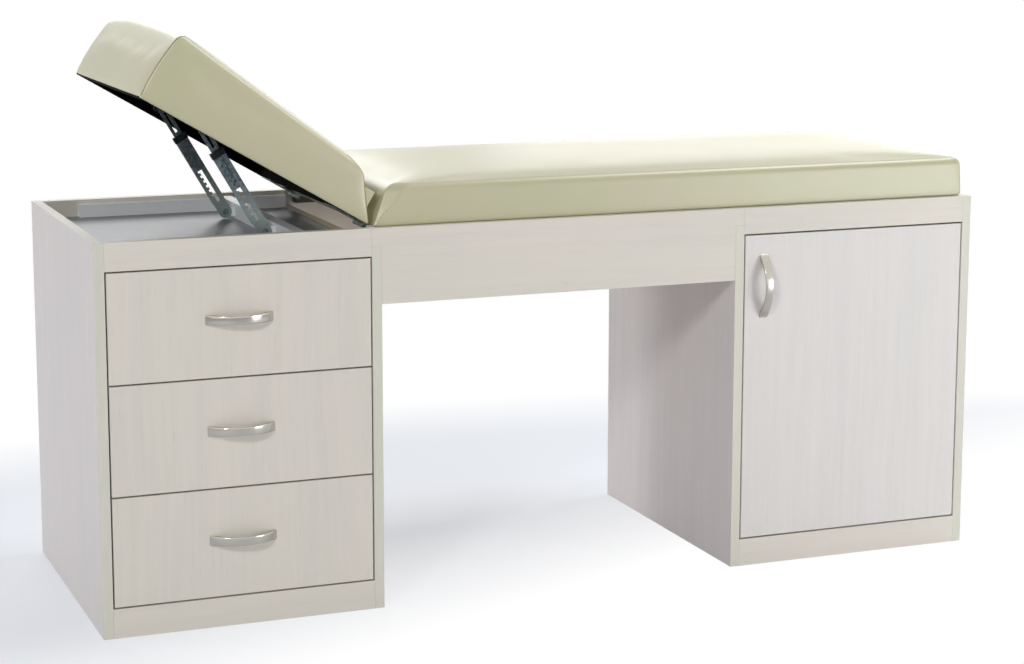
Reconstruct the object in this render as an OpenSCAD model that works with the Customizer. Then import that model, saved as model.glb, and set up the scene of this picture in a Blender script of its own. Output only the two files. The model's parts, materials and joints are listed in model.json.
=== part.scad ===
// Treatment couch on a cabinet base: a drawer pedestal at the head end, a
// cupboard pedestal at the foot end, a knee space between them, a fixed pad and
// a head pad that tilts on two ratchet struts.
// X runs from the head end to the foot end, -Y is the front and Z is up.

/* [Carcass] */
// Overall length over the two end panels
bed_length = 1800; // [1600:10:2000]
// Depth of the case, from its front plane to its back plane
case_depth = 610; // [580:5:680]
// Height of the end panels and of the rails that carry the pads
case_height = 726; // [690:1:780]
// Thickness of the laminated boards
board = 19; // [17:0.5:21]
// Width of a pedestal over both side panels
pedestal_width = 535; // [500:5:590]
// Height of the plinth under the drawers and the door
plinth_height = 55; // [45:1:70]
// Depth of the tray between the top rails, over a pedestal's top board
recess_depth = 33.5; // [32:0.5:36]
// Height of the aprons between the pedestals
apron_height = 143; // [110:1:170]
// Thickness of the back boards
back_board = 8; // [6:1:12]
// Width of the bearers under the fixed pad
bearer_width = 25; // [18:1:40]

/* [Drawers] */
// Gap round the drawer fronts and the door
front_gap = 3; // [2.5:0.1:4]
// Thickness of the drawer box sides
box_board = 15; // [12:1:16]
// Height of the drawer box sides
box_height = 135; // [100:1:150]
// Depth of the drawer box behind its front
box_depth = 450; // [400:5:480]
// Thickness of the drawer bottom
box_bottom = 5; // [4:0.5:6]
// Height of the box bottom above the lower edge of the front
box_lift = 18; // [16:1:24]

/* [Drawer runners] */
// Room for one runner between a box and the side panel
runner_space = 12.7; // [12.5:0.1:13.5]
// Thickness of the runner steel
runner_steel = 1.2; // [1:0.1:1.5]
// Radius of the runner wheels
wheel_radius = 7; // [6:0.5:7.5]
// Width of the runner wheels
wheel_width = 7; // [6:0.5:7.5]
// Height of the drawer member's side leg
member_height = 23; // [22:0.5:26]

/* [Handles] */
// Length of a handle
handle_length = 127; // [100:1:150]
// Height of a handle at its ends
handle_height = 18.5; // [15:0.5:22]
// Height of a handle at its middle
handle_waist = 15.5; // [12:0.5:17]
// Distance that a handle stands out from the front
handle_reach = 28; // [22:1:32]
// Thickness of a handle at its middle
handle_thickness = 4; // [3:0.5:5]
// Length of the flat foot at each end of a handle
handle_foot = 14; // [11:0.5:18]
// Height of a drawer handle over the middle of its front
handle_raise = 6; // [0:1:20]
// Distance from a drawer handle's middle to the middle of its front, towards the head end
handle_shift = 4.5; // [0:0.5:10]

/* [Door] */
// Distance from the door's free edge to the handle's middle line
door_handle_inset = 41; // [30:1:60]
// Distance from the door's top edge to the handle's middle
door_handle_drop = 102; // [80:1:160]
// Distance from a door hinge's middle to the door's top or bottom edge
door_hinge_inset = 92; // [70:1:130]
// Distance from the door's hinge edge to the hinge axis
hinge_edge = 22; // [21.5:0.1:23]
// Depth of the hinge axis behind the door's front face
hinge_back = 10; // [9.5:0.1:10.5]
// Height of the shelf over the case bottom
shelf_height = 290; // [200:5:380]

/* [Pads] */
// Distance from the case's front and back planes to the pads' sides
pad_inset = 14; // [10:1:18]
// Distance from the foot end of the case to the fixed pad's end
pad_end_inset = 14; // [10:1:20]
// Height of the fixed pad over the case, at its rounded edge
pad_height = 78; // [65:1:100]
// Radius of the pads' rounded top edges
pad_edge = 15; // [10:1:18]
// Rise of a pad's middle over its edge
pad_crown = 7; // [4:1:10]
// Thickness of the boards inside the pads
pad_board = 12; // [9:1:15]
// Thickness of the foam and cover round the pad boards
pad_wrap = 4; // [3:0.5:6]

/* [Head section] */
// Distance from the head hinge axis to the drawer pedestal's knee-side face
hinge_setback = 15; // [12:1:18]
// Tilt of the head section as it stands, in degrees
head_tilt = 30.5; // [20:0.5:34]
// Distance from the head end of the case to the head pad's end as it lies flat
head_end_inset = 13; // [8:1:40]
// Height of the head pad's side at its hinge end
head_low = 72; // [66:1:85]
// Height of the head pad's side at its head end
head_high = 123; // [95:1:130]
// Slope of the head pad's hinge end, away from the fixed pad
head_bevel = 49; // [45:1:54]
// Depth of the battens under the head pad's board
head_frame = 46; // [44:1:50]
// Thickness of the battens under the head pad's board
batten = 18; // [15:1:22]

/* [Head hinges] */
// Radius of the hinge barrels
barrel_radius = 4; // [3.5:0.1:4.5]
// Radius of the hinge pins
hinge_pin = 1.5; // [1.2:0.1:2]
// Thickness of the hinge leaves
leaf = 2; // [1.5:0.1:2.5]
// Length of each hinge along its pin
hinge_length = 60; // [40:1:90]
// Distance from the case's front or back plane to a hinge's middle
hinge_inset = 88; // [70:1:110]

/* [Struts] */
// Distance from the head hinge axis to the strut pivots, towards the head end
strut_offset = 163; // [158:1:170]
// Height of the strut pivots over the tray
strut_rise = 14.5; // [14:0.1:16]
// Distance between the two struts, front face to front face
strut_spacing = 295; // [240:5:360]
// Lean of the struts from upright, in degrees
strut_lean = 30.2; // [28:0.1:32]
// Distance from a strut's foot pivot to its top pivot
strut_length = 247; // [244:1:250]
// Width of the strut channels
channel_width = 26; // [24:0.5:27]
// Depth of the strut channels
channel_depth = 8; // [7:0.5:9]
// Thickness of the strut steel
strut_steel = 1.5; // [1.2:0.1:2]
// Length of a channel over its foot pivot
channel_length = 180; // [160:1:181]
// Length of a bar below its top pivot
bar_length = 150; // [135:1:155]
// Width of the bars that run in the channels
bar_width = 18; // [15:0.5:19]
// Radius of the rivets at the strut pivots
rivet = 3.5; // [3:0.1:4]
// Pitch of the ratchet notches
notch_pitch = 11; // [9:0.5:13]

/* [Hidden] */

laminate = [0.82, 0.80, 0.76];
white_board = [0.90, 0.90, 0.90];
vinyl = [0.76, 0.74, 0.60];
steel = [0.45, 0.49, 0.50];
bright = [0.80, 0.80, 0.82];
plywood = [0.80, 0.70, 0.54];
black_cloth = [0.06, 0.06, 0.07];

$fn = 48;
fine = 720;
over = 1;
turn = 90;
seam = 0.1;
pin_play = 0.05;
run_gap = 0.5;
soft_gap = 0.3;

head_end_x = -bed_length / 2;
front_y = (handle_reach - case_depth) / 2;
drawer_inner_x = pedestal_width - board;
cupboard_x = bed_length - pedestal_width;
door_x = cupboard_x + board;
foot_inner_x = bed_length - board;
tray_z = case_height - recess_depth;
rail_z = tray_z - board;
apron_z = case_height - apron_height;
back_inner_y = case_depth - board;
back_y = case_depth - back_board;
middle_y = case_depth / 2;

drawer_count = 3;
opening_height = rail_z - plinth_height;
front_height = (opening_height - (drawer_count + 1) * front_gap) / drawer_count;

hinge_x = pedestal_width - hinge_setback;
hinge_z = case_height - barrel_radius + run_gap;
strut_x = hinge_x - strut_offset;
strut_z = tray_z + strut_rise;
strut_ys = [middle_y - strut_spacing / 2, middle_y + strut_spacing / 2];

// Places the children in the case's own corner frame: X from the head end,
// Y from the front plane.
module in_case() {
  translate([head_end_x, front_y, 0]) children();
}

// A block given by its two limits along each axis
module block(x, y, z) {
  translate([x[0], y[0], z[0]]) cube([x[1] - x[0], y[1] - y[0], z[1] - z[0]]);
}

// A round bar along X, Y or Z from a start point
module rod_x(start, length, radius) {
  translate(start) rotate([0, turn, 0]) cylinder(h = length, r = radius);
}

module rod_y(start, length, radius) {
  translate(start) rotate([-turn, 0, 0]) cylinder(h = length, r = radius);
}

module rod_z(start, length, radius) {
  translate(start) cylinder(h = length, r = radius);
}

// Repeats the children at the front and, turned round, at the back
module front_and_back() {
  children();
  translate([0, case_depth, 0]) mirror([0, 1, 0]) children();
}

// Shelf pins

pin_radius = 2.5;
pin_sink = 10;
pin_out = 9;
pin_margin = 60;
shelf_play = 1;
shelf_setback = 20;
shelf_z = plinth_height + shelf_height;
shelf_front = board + shelf_setback;
pin_ys = [shelf_front + pin_margin, back_y - pin_margin];

module shelf_pin_holes() {
  for (y = pin_ys) {
    rod_x([door_x - pin_sink, y, shelf_z - pin_radius], pin_sink + over, pin_radius);
    rod_x([foot_inner_x - over, y, shelf_z - pin_radius], pin_sink + over, pin_radius);
  }
}

// Case panels

module left_end_panel() {
  color(laminate) in_case() block([0, board], [0, case_depth], [0, case_height]);
}

module right_end_panel() {
  color(laminate) in_case() difference() {
    block([foot_inner_x, bed_length], [0, case_depth], [0, case_height]);
    shelf_pin_holes();
    plate_screw_bores();
  }
}

module drawer_inner_side() {
  color(laminate) in_case()
    block([drawer_inner_x, pedestal_width], [0, case_depth], [0, tray_z]);
}

module cupboard_inner_side() {
  color(laminate) in_case() difference() {
    block([cupboard_x, door_x], [0, case_depth], [0, tray_z]);
    shelf_pin_holes();
  }
}

module drawer_case_top() {
  color(white_board) in_case()
    block([board, drawer_inner_x], [board, back_inner_y], [rail_z, tray_z]);
}

module cupboard_case_top() {
  color(white_board) in_case()
    block([door_x, foot_inner_x], [board, back_inner_y], [rail_z, tray_z]);
}

module drawer_case_bottom() {
  color(laminate) in_case() block([board, drawer_inner_x], [board, back_y],
    [plinth_height - board, plinth_height]);
}

module cupboard_case_bottom() {
  color(laminate) in_case() block([door_x, foot_inner_x], [board, back_y],
    [plinth_height - board, plinth_height]);
}

module drawer_case_back() {
  color(white_board) in_case() block([board, drawer_inner_x], [back_y, case_depth], [0, rail_z]);
}

module cupboard_back() {
  color(white_board) in_case() block([door_x, foot_inner_x], [back_y, case_depth], [0, rail_z]);
}

module plinths() {
  color(laminate) in_case() {
    block([board, drawer_inner_x], [0, board], [0, plinth_height]);
    block([door_x, foot_inner_x], [0, board], [0, plinth_height]);
  }
}

module drawer_top_rail() {
  color(laminate) in_case() block([board, drawer_inner_x], [0, board], [rail_z, case_height]);
}

module cupboard_top_rail() {
  color(laminate) in_case() block([door_x, foot_inner_x], [0, board], [rail_z, case_height]);
}

module rear_top_rails() {
  color(laminate) in_case() {
    block([board, drawer_inner_x], [back_inner_y, case_depth], [rail_z, case_height]);
    block([door_x, foot_inner_x], [back_inner_y, case_depth], [rail_z, case_height]);
  }
}

// An apron board: its upper strip runs on over both inner side panels
module apron_board() {
  block([pedestal_width, cupboard_x], [0, board], [apron_z, case_height]);
  block([drawer_inner_x, door_x], [0, board], [tray_z, case_height]);
}

module front_apron() {
  color(laminate) in_case() apron_board();
}

module rear_apron() {
  color(laminate) in_case() translate([0, back_inner_y, 0]) apron_board();
}

// Bearers screwed inside the aprons and the cupboard's top rails
module pad_bearers() {
  color(plywood) in_case() front_and_back() {
    block([pedestal_width, cupboard_x], [board, board + bearer_width],
      [case_height - bearer_width, case_height]);
    block([door_x, foot_inner_x], [board, board + bearer_width], [tray_z, case_height]);
  }
}

module cupboard_shelf() {
  color(laminate) in_case() block([door_x + shelf_play, foot_inner_x - shelf_play],
    [shelf_front, back_y - shelf_play], [shelf_z, shelf_z + board]);
}

module shelf_pins() {
  color(bright) in_case() for (y = pin_ys) {
    rod_x([door_x - pin_sink, y, shelf_z - pin_radius], pin_sink + pin_out,
      pin_radius - pin_play);
    rod_x([foot_inner_x - pin_out, y, shelf_z - pin_radius], pin_sink + pin_out,
      pin_radius - pin_play);
  }
}

// Metal rails on the tray floor along the front and back of the tray
support_rail_width = 19;
support_rail_height = 25.5;
support_rail_start = 70;
support_rail_wall = 1.5;

module support_rail() {
  y = [board, board + support_rail_width];
  x = [board + support_rail_start, drawer_inner_x];
  z = [tray_z, tray_z + support_rail_height];
  wall = support_rail_wall;
  difference() {
    block(x, y, z);
    block([x[0] - over, x[1] + over], [y[0] + wall, y[1] - wall], [z[0] + wall, z[1] - wall]);
  }
}

module support_rails() {
  color(bright) in_case() front_and_back() support_rail();
}

// Drawers

// The drawers are numbered from 0, the lowest one
function front_z(i) = plinth_height + front_gap + i * (front_height + front_gap);
function box_z(i) = front_z(i) + box_lift;

screw_radius = 2;
screw_head = 4;
screw_head_height = 2.4;
screw_depth = 5.5;
screw_play = 0.2;
screw_share = 0.7;
screw_spread = handle_length / 2 - screw_share * handle_foot;
drawer_handle_x = (board + drawer_inner_x) / 2 - handle_shift;

// The bow of a handle, lying along X, centred on the origin, its feet on y = 0
module handle_bow() {
  half = handle_length / 2;
  outer = (half * half + handle_reach * handle_reach) / (2 * handle_reach);
  inner_half = half - handle_foot;
  inner_reach = handle_reach - handle_thickness;
  inner = (inner_half * inner_half + inner_reach * inner_reach) / (2 * inner_reach);
  dip = (handle_height - handle_waist) / 2;
  waist = (half * half + dip * dip) / (2 * dip);
  difference() {
    intersection() {
      rod_z([0, outer - handle_reach, -handle_height], 2 * handle_height, outer, $fn = fine);
      block([-half - over, half + over], [-handle_reach - over, 0],
        [-handle_height / 2 - over, handle_height / 2 + over]);
    }
    rod_z([0, inner - inner_reach, -2 * handle_height], 4 * handle_height, inner, $fn = fine);
    for (side = [-1, 1])
      rod_y([0, -handle_reach - over, side * (handle_waist / 2 + waist)],
        handle_reach + 2 * over, waist, $fn = fine);
    for (side = [-1, 1])
      rod_y([side * screw_spread, -screw_depth, 0], screw_depth + over, screw_radius);
  }
}

// Holes for a handle's two screws through a front
module handle_holes(across) {
  for (side = [-1, 1])
    rod_y([side * screw_spread * across[0], -over, side * screw_spread * across[1]],
      board + 2 * over, screw_radius + screw_play);
}

module handle_screw_pair(across) {
  for (side = [-1, 1])
    translate([side * screw_spread * across[0], 0, side * screw_spread * across[1]]) {
      rod_y([0, -screw_depth + over, 0], board + screw_depth - over, screw_radius - pin_play);
      rod_y([0, board, 0], screw_head_height, screw_head);
    }
}

along_x = [1, 0];
along_z = [0, 1];

module drawer_front(i) {
  color(laminate) in_case() difference() {
    block([board + front_gap, drawer_inner_x - front_gap], [0, board],
      [front_z(i), front_z(i) + front_height]);
    translate([drawer_handle_x, 0, front_z(i) + front_height / 2 + handle_raise])
      handle_holes(along_x);
  }
}

module drawer_handle(i) {
  color(bright) in_case()
    translate([drawer_handle_x, 0, front_z(i) + front_height / 2 + handle_raise]) {
      handle_bow();
      handle_screw_pair(along_x);
    }
}

// Two sides, an inner front and a back, with a seam between neighbours
module drawer_box(i) {
  x = [board + runner_space, drawer_inner_x - runner_space];
  y = [board, board + box_depth];
  z = [box_z(i) + box_bottom, box_z(i) + box_bottom + box_height];
  inner_x = [x[0] + box_board + seam, x[1] - box_board - seam];
  color(white_board) in_case() {
    block([x[0], x[0] + box_board], y, z);
    block([x[1] - box_board, x[1]], y, z);
    difference() {
      block(inner_x, [y[0], y[0] + box_board], z);
      translate([drawer_handle_x, 0, front_z(i) + front_height / 2 + handle_raise])
        for (side = [-1, 1])
          rod_y([side * screw_spread, board - over, 0], box_board + 2 * over,
            screw_head + screw_play);
    }
    block(inner_x, [y[1] - box_board, y[1]], z);
  }
}

module drawer_bottom_board(i) {
  color(white_board) in_case() block([board + runner_space, drawer_inner_x - runner_space],
    [board, board + box_depth], [box_z(i), box_z(i) + box_bottom]);
}

wheel_bore = 2;
wheel_inset = 12;
foot_width = 10;
member_setback = 3;
member_start = board + member_setback;
member_end = board + box_depth;
flange_gap = 0.3;

// One drawer member at the left side: leg, foot under the box and riding flange
module drawer_member(i) {
  side_x = board + runner_space;
  leg_x = [side_x - runner_steel, side_x];
  z = box_z(i) - runner_steel;
  flange_x = side_x - runner_steel - wheel_width - flange_gap;
  block(leg_x, [member_start, member_end], [z, z + member_height]);
  block([leg_x[0], side_x + foot_width], [member_start, member_end], [z, z + runner_steel]);
  block([flange_x, side_x], [member_start, member_end],
    [z + member_height - runner_steel, z + member_height]);
}

function wheel_z(i) = box_z(i) + member_height - 2 * runner_steel - wheel_radius - flange_gap;
rear_wheel_drop = 4;

// The drawer member's wheel at its back end, on a stub that is one with it
module drawer_wheel(i) {
  leg_x = board + runner_space - runner_steel;
  rod_x([leg_x - wheel_width - flange_gap, member_end - wheel_inset,
    wheel_z(i) - rear_wheel_drop], wheel_width, wheel_radius);
}

// Repeats the children at the left and right side of the drawer opening
module both_sides() {
  children();
  translate([board + drawer_inner_x, 0, 0]) mirror([1, 0, 0]) children();
}

module drawer_runner_pair(i) {
  color(bright) in_case() both_sides() {
    difference() {
      drawer_member(i);
      rod_x([board, member_end - wheel_inset, wheel_z(i) - rear_wheel_drop],
        runner_space + over, wheel_bore);
    }
    drawer_wheel(i);
    rod_x([board + runner_space - runner_steel - flange_gap, member_end - wheel_inset,
      wheel_z(i) - rear_wheel_drop], runner_steel + flange_gap, wheel_bore - pin_play);
  }
}

lip_width = 4;

// One case member at the left side: leg, floor flange, top lip and front wheel
module case_member(i) {
  leg_x = [board, board + runner_steel];
  floor_z = wheel_z(i) - rear_wheel_drop - wheel_radius - flange_gap;
  lip_z = wheel_z(i) - rear_wheel_drop + wheel_radius + flange_gap;
  flange_x = board + runner_space - runner_steel - flange_gap;
  lip_y = member_start + 2 * wheel_inset + wheel_radius;
  block(leg_x, [member_start, member_end], [floor_z - runner_steel, lip_z + runner_steel]);
  block([board, flange_x], [member_start, member_end], [floor_z - runner_steel, floor_z]);
  block([board, leg_x[1] + lip_width], [lip_y, member_end], [lip_z, lip_z + runner_steel]);
  rod_x([leg_x[1] + flange_gap, member_start + wheel_inset, wheel_z(i)], wheel_width,
    wheel_radius);
  rod_x([leg_x[1], member_start + wheel_inset, wheel_z(i)], flange_gap, wheel_bore);
}

module case_runners() {
  color(bright) in_case() both_sides()
    for (i = [0 : drawer_count - 1]) case_member(i);
}

module drawer_top_front() { drawer_front(2); }
module drawer_top_handle() { drawer_handle(2); }
module drawer_top_box() { drawer_box(2); }
module drawer_top_bottom() { drawer_bottom_board(2); }
module drawer_top_runners() { drawer_runner_pair(2); }
module drawer_middle_front() { drawer_front(1); }
module drawer_middle_handle() { drawer_handle(1); }
module drawer_middle_box() { drawer_box(1); }
module drawer_middle_bottom() { drawer_bottom_board(1); }
module drawer_middle_runners() { drawer_runner_pair(1); }
module drawer_bottom_front() { drawer_front(0); }
module drawer_bottom_handle() { drawer_handle(0); }
module drawer_bottom_box() { drawer_box(0); }
module drawer_bottom_bottom() { drawer_bottom_board(0); }
module drawer_bottom_runners() { drawer_runner_pair(0); }

// Door and its concealed hinges

axis_x = foot_inner_x - front_gap - hinge_edge;
axis_y = hinge_back;
door_z = [plinth_height + front_gap, rail_z - front_gap];
hinge_zs = [door_z[0] + door_hinge_inset, door_z[1] - door_hinge_inset];
door_handle_place = [door_x + front_gap + door_handle_inset, 0, door_z[1] - door_handle_drop];
cup_radius = 17.5;
cup_depth = 12.6;
cup_wall = 1;
cup_flange = 20;
wing_width = 14;
wing_height = 52;
door_pin = 1.2;
eye_radius = 2.2;
arm_width = 14;
arm_steel = 3;
arm_angle = 137.5;
arm_reach = 25.6;
arm_cross = 26;
arm_body_depth = 10;
arm_body_length = 44;
plate_steel = 3;
plate_height = 48;
plate_start = 30;
plate_length = 36;
plate_screw_offset = 17;
plate_screw_sink = 12;

// Repeats the children on each door hinge's axis, at its middle height
module each_door_hinge() {
  for (z = hinge_zs) translate([axis_x, axis_y, z]) children();
}

module plate_screw_places() {
  for (side = [-1, 1]) translate([foot_inner_x - axis_x, plate_start + plate_length / 2,
    side * plate_screw_offset]) children();
}

module plate_screw_bores() {
  each_door_hinge() plate_screw_places()
    rod_x([-plate_steel - over, 0, 0], plate_steel + plate_screw_sink + over, screw_radius);
}

module door_panel() {
  color(laminate) in_case() difference() {
    block([door_x + front_gap, foot_inner_x - front_gap], [0, board], door_z);
    each_door_hinge()
      rod_y([0, board - axis_y - cup_depth, 0], cup_depth + over, cup_radius);
    translate(door_handle_place) handle_holes(along_z);
  }
}

module door_handle() {
  color(bright) in_case() translate(door_handle_place) {
    rotate([0, turn, 0]) handle_bow();
    handle_screw_pair(along_z);
  }
}

module door_hinge_cups() {
  floor_y = board - axis_y - cup_depth;
  face_y = board - axis_y;
  color(bright) in_case() each_door_hinge() difference() {
    union() {
      rod_y([0, floor_y + pin_play, 0], cup_depth - pin_play, cup_radius - pin_play);
      rod_y([0, face_y, 0], cup_wall, cup_flange);
      block([-wing_width / 2, wing_width / 2], [face_y, face_y + cup_wall],
        [-wing_height / 2, wing_height / 2]);
    }
    rod_y([0, floor_y + cup_wall, 0], cup_depth + over, cup_radius - cup_wall);
  }
}

module door_hinge_pins() {
  half = cup_radius - cup_wall - seam;
  color(steel) in_case() each_door_hinge() rod_z([0, 0, -half], 2 * half, door_pin);
}

// The arm leaves the cup slantwise, passes round the door's edge and runs
// along the side panel.
module door_hinge_arm() {
  z = [-arm_width / 2, arm_width / 2];
  tip = [arm_reach * cos(arm_angle), arm_reach * sin(arm_angle)];
  plate_x = foot_inner_x - axis_x - plate_steel;
  difference() {
    union() {
      rod_z([0, 0, z[0]], arm_width, eye_radius);
      rotate([0, 0, arm_angle]) block([0, arm_reach], [-arm_steel / 2, arm_steel / 2], z);
      block([tip[0] - arm_steel / 2, tip[0] + arm_steel / 2], [tip[1], arm_cross + arm_steel], z);
      block([tip[0] - arm_steel / 2, plate_x], [arm_cross, arm_cross + arm_steel], z);
      block([plate_x - arm_body_depth, plate_x], [arm_cross, arm_cross + arm_body_length], z);
    }
    rod_z([0, 0, z[0] - over], arm_width + 2 * over, door_pin + pin_play);
  }
}

module door_hinge_arms() {
  color(bright) in_case() each_door_hinge() door_hinge_arm();
}

module door_hinge_plates() {
  plate_x = [foot_inner_x - axis_x - plate_steel, foot_inner_x - axis_x];
  color(bright) in_case() each_door_hinge() {
    difference() {
      block(plate_x, [plate_start, plate_start + plate_length],
        [-plate_height / 2, plate_height / 2]);
      plate_screw_places() rod_x([-plate_steel - over, 0, 0], plate_steel + 2 * over,
        screw_radius);
    }
    plate_screw_places() {
      rod_x([-plate_steel, 0, 0], plate_steel + plate_screw_sink - over,
        screw_radius - pin_play);
      rod_x([-plate_steel - screw_head_height, 0, 0], screw_head_height, screw_head);
    }
  }
}

// Pads

corner_steps = 4;
knee_share = 0.14;
wall_shares = [0, knee_share, 0.55, 1];
crown_shares = [0.14, 0.32, 0.55, 0.8];
edge_steps = 4;
draw_in = 2;
pad_corner = 8;

function mix(a, b, t) = a + (b - a) * t;

// A value that runs from its foot over a knee to its top, at a share h of the height
function along_wall(v, h) = h < knee_share ? mix(v[0], v[1], h / knee_share)
  : mix(v[1], v[2], (h - knee_share) / (1 - knee_share));

function corner_arc(x, y, r, start) = [for (i = [0 : corner_steps])
  [x + r * cos(start + i * turn / corner_steps), y + r * sin(start + i * turn / corner_steps)]];

// A rectangle with round corners, whose corners at its low and high X may differ
function round_ring(x, y, r) = concat(
  corner_arc(x[1] - r[1], y[0] + r[1], r[1], -turn),
  corner_arc(x[1] - r[1], y[1] - r[1], r[1], 0),
  corner_arc(x[0] + r[0], y[1] - r[0], r[0], turn),
  corner_arc(x[0] + r[0], y[0] + r[0], r[0], 2 * turn));

// A pad's sides at a share h of its wall, set in at its low X, high X and Y sides
function pad_ring(pad, h, inset) = round_ring(
  [along_wall(pad[0], h) + inset[0], along_wall(pad[1], h) - inset[1]],
  [along_wall(pad[2], h) + inset[2], along_wall(pad[3], h) - inset[2]],
  [along_wall(pad[4], h), pad_corner]);

// The height of the wall's top over the pad's underside at a place x
function wall_height(pad, x) = let(at = pad[5])
  mix(at[1], at[3], (x - at[0]) / (at[2] - at[0]));

function raised(pad, ring, h, rise) = [for (p = ring)
  [p[0], p[1], h * wall_height(pad, p[0]) + rise]];

function drawn_to_middle(pad, ring, s) = let(
  cx = (pad[0][2] + pad[1][2]) / 2, cy = (pad[2][2] + pad[3][2]) / 2)
  [for (p = ring) [mix(p[0], cx, s), mix(p[1], cy, s)]];

function crown_rise(s) = pad_edge + pad_crown * (1 - (1 - s) * (1 - s));

// A pad is [low X, high X, low Y, high Y, low-X corner radius, wall heights]:
// the first five hold a foot, a knee and a top value, and the last one holds
// two places with their wall heights. Its top edge at high X is eased over a
// length of its own.
module cushion(pad, ease) {
  insets = [pad_edge, ease, pad_edge];
  top = pad_ring(pad, 1, insets);
  walls = [for (h = wall_shares) raised(pad, pad_ring(pad, h, [0, 0, 0]), h, 0)];
  edges = [for (i = [1 : edge_steps]) let(a = turn * i / edge_steps, c = 1 - cos(a))
    raised(pad, pad_ring(pad, 1, insets * c), 1, pad_edge * sin(a))];
  crowns = [for (s = crown_shares)
    raised(pad, drawn_to_middle(pad, top, s), 1, crown_rise(s))];
  rings = concat(walls, edges, crowns);
  middle = raised(pad, drawn_to_middle(pad, [top[0]], 1), 1, crown_rise(1));
  n = len(top);
  last = len(rings) - 1;
  points = concat([for (ring = rings) each ring], middle);
  base = [for (j = [1 : n - 2]) [0, j, j + 1]];
  sides = [for (i = [0 : last - 1], j = [0 : n - 1]) let(k = (j + 1) % n)
    each [[i * n + j, (i + 1) * n + j, (i + 1) * n + k], [i * n + j, (i + 1) * n + k, i * n + k]]];
  cap = [for (j = [0 : n - 1]) [(last + 1) * n, last * n + (j + 1) % n, last * n + j]];
  polyhedron(points, concat(base, sides, cap));
}

side_foot = pad_inset + draw_in;
pad_side = [side_foot, pad_inset, pad_inset];
pad_far_side = [case_depth - side_foot, case_depth - pad_inset, case_depth - pad_inset];
pad_wall = pad_height - pad_edge;
main_pad_gap = 7;
main_pad_lean = 24;
main_pad_fold = 32;
main_start = hinge_x + main_pad_gap;
main_end = bed_length - pad_end_inset;
board_y = [side_foot + pad_wrap, case_depth - side_foot - pad_wrap];
main_board_x = [main_start + pad_wrap + main_pad_lean * pad_board / pad_wall,
  main_end - draw_in - pad_wrap];

function grown(span, by) = [span[0] - by, span[1] + by];

module main_pad() {
  pad = [[main_start, main_start + main_pad_lean * knee_share, main_start + main_pad_lean],
    [main_end - draw_in, main_end, main_end - draw_in], pad_side, pad_far_side,
    [pad_corner, pad_corner, main_pad_fold], [main_start, pad_wall, main_end, pad_wall]];
  color(vinyl) in_case() difference() {
    translate([0, 0, case_height + soft_gap]) cushion(pad, pad_edge);
    block(grown(main_board_x, soft_gap), grown(board_y, soft_gap),
      [case_height - over, case_height + pad_board + soft_gap]);
  }
}

module main_pad_board() {
  color(plywood) in_case()
    block(main_board_x, board_y, [case_height, case_height + pad_board]);
}

// Head section, in a frame on its hinge axis: X is negative towards the head
// end along the pad's underside, and Z is square to the underside.

head_gap = 9;
head_ease = 50;
head_draw = 5;
head_lean = 11;
head_far = hinge_x - head_end_inset;
under = barrel_radius;
frame_top = under + head_frame;
frame_start = head_gap + pad_wrap + head_bevel * (head_frame + pad_board) / head_low;
frame_end = head_far - head_draw - pad_wrap;

module on_head() {
  translate([hinge_x, 0, hinge_z]) rotate([0, head_tilt, 0]) children();
}

module head_pad() {
  hinge_edge_x = [-head_gap, -head_gap - head_bevel * knee_share, -head_gap - head_bevel];
  pad = [[-head_far + head_draw, -head_far, -head_far + head_lean], hinge_edge_x,
    pad_side, pad_far_side, [pad_corner, pad_corner, pad_corner],
    [-head_far, head_high, hinge_edge_x[2], head_low]];
  color(vinyl) in_case() on_head() difference() {
    translate([0, 0, under]) cushion(pad, head_ease);
    block([-frame_end - soft_gap, -frame_start + soft_gap], grown(board_y, soft_gap),
      [under - over, frame_top + pad_board + soft_gap]);
  }
}

module head_pad_board() {
  color(black_cloth) in_case() on_head()
    block([-frame_end, -frame_start], board_y, [frame_top, frame_top + pad_board]);
}

module head_pad_frame() {
  z = [under, frame_top];
  long_x = [-frame_end, -frame_start];
  inner_y = [board_y[0] + batten + seam, board_y[1] - batten - seam];
  color(black_cloth) in_case() on_head() {
    block(long_x, [board_y[0], board_y[0] + batten], z);
    block(long_x, [board_y[1] - batten, board_y[1]], z);
    block([-frame_end, -frame_end + batten], inner_y, z);
    block([-frame_start - batten, -frame_start], inner_y, z);
  }
}

// Head hinges

fixed_leaf_length = 36;
knuckle_play = 0.25;
knuckle = hinge_length / 3;
leaf_hole = 2.1;
leaf_hole_inset = 8;
leaf_hole_spread = 18;

// A leaf on the high-X side of its barrel's axis, with its top at the given height
module leaf_plate(length, top) {
  start = barrel_radius + run_gap;
  difference() {
    block([start, length], [-hinge_length / 2, hinge_length / 2], [top - leaf, top]);
    for (side = [-1, 1]) rod_z([length - leaf_hole_inset, side * leaf_hole_spread, top - leaf - over],
      leaf + 2 * over, leaf_hole);
  }
}

// A knuckle over a span of Y, joined to its leaf and bored for the pin
module knuckle_on_leaf(span, top) {
  difference() {
    union() {
      rod_y([0, span[0], 0], span[1] - span[0], barrel_radius);
      block([0, barrel_radius + run_gap + leaf], span, [top - leaf, top]);
    }
    rod_y([0, span[0] - over, 0], span[1] - span[0] + 2 * over, hinge_pin + pin_play);
  }
}

fixed_leaf_top = case_height - hinge_z;

module fixed_hinge_leaf() {
  half = hinge_length / 2;
  leaf_plate(fixed_leaf_length, fixed_leaf_top);
  knuckle_on_leaf([-half, -half + knuckle], fixed_leaf_top);
  knuckle_on_leaf([half - knuckle, half], fixed_leaf_top);
}

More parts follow.
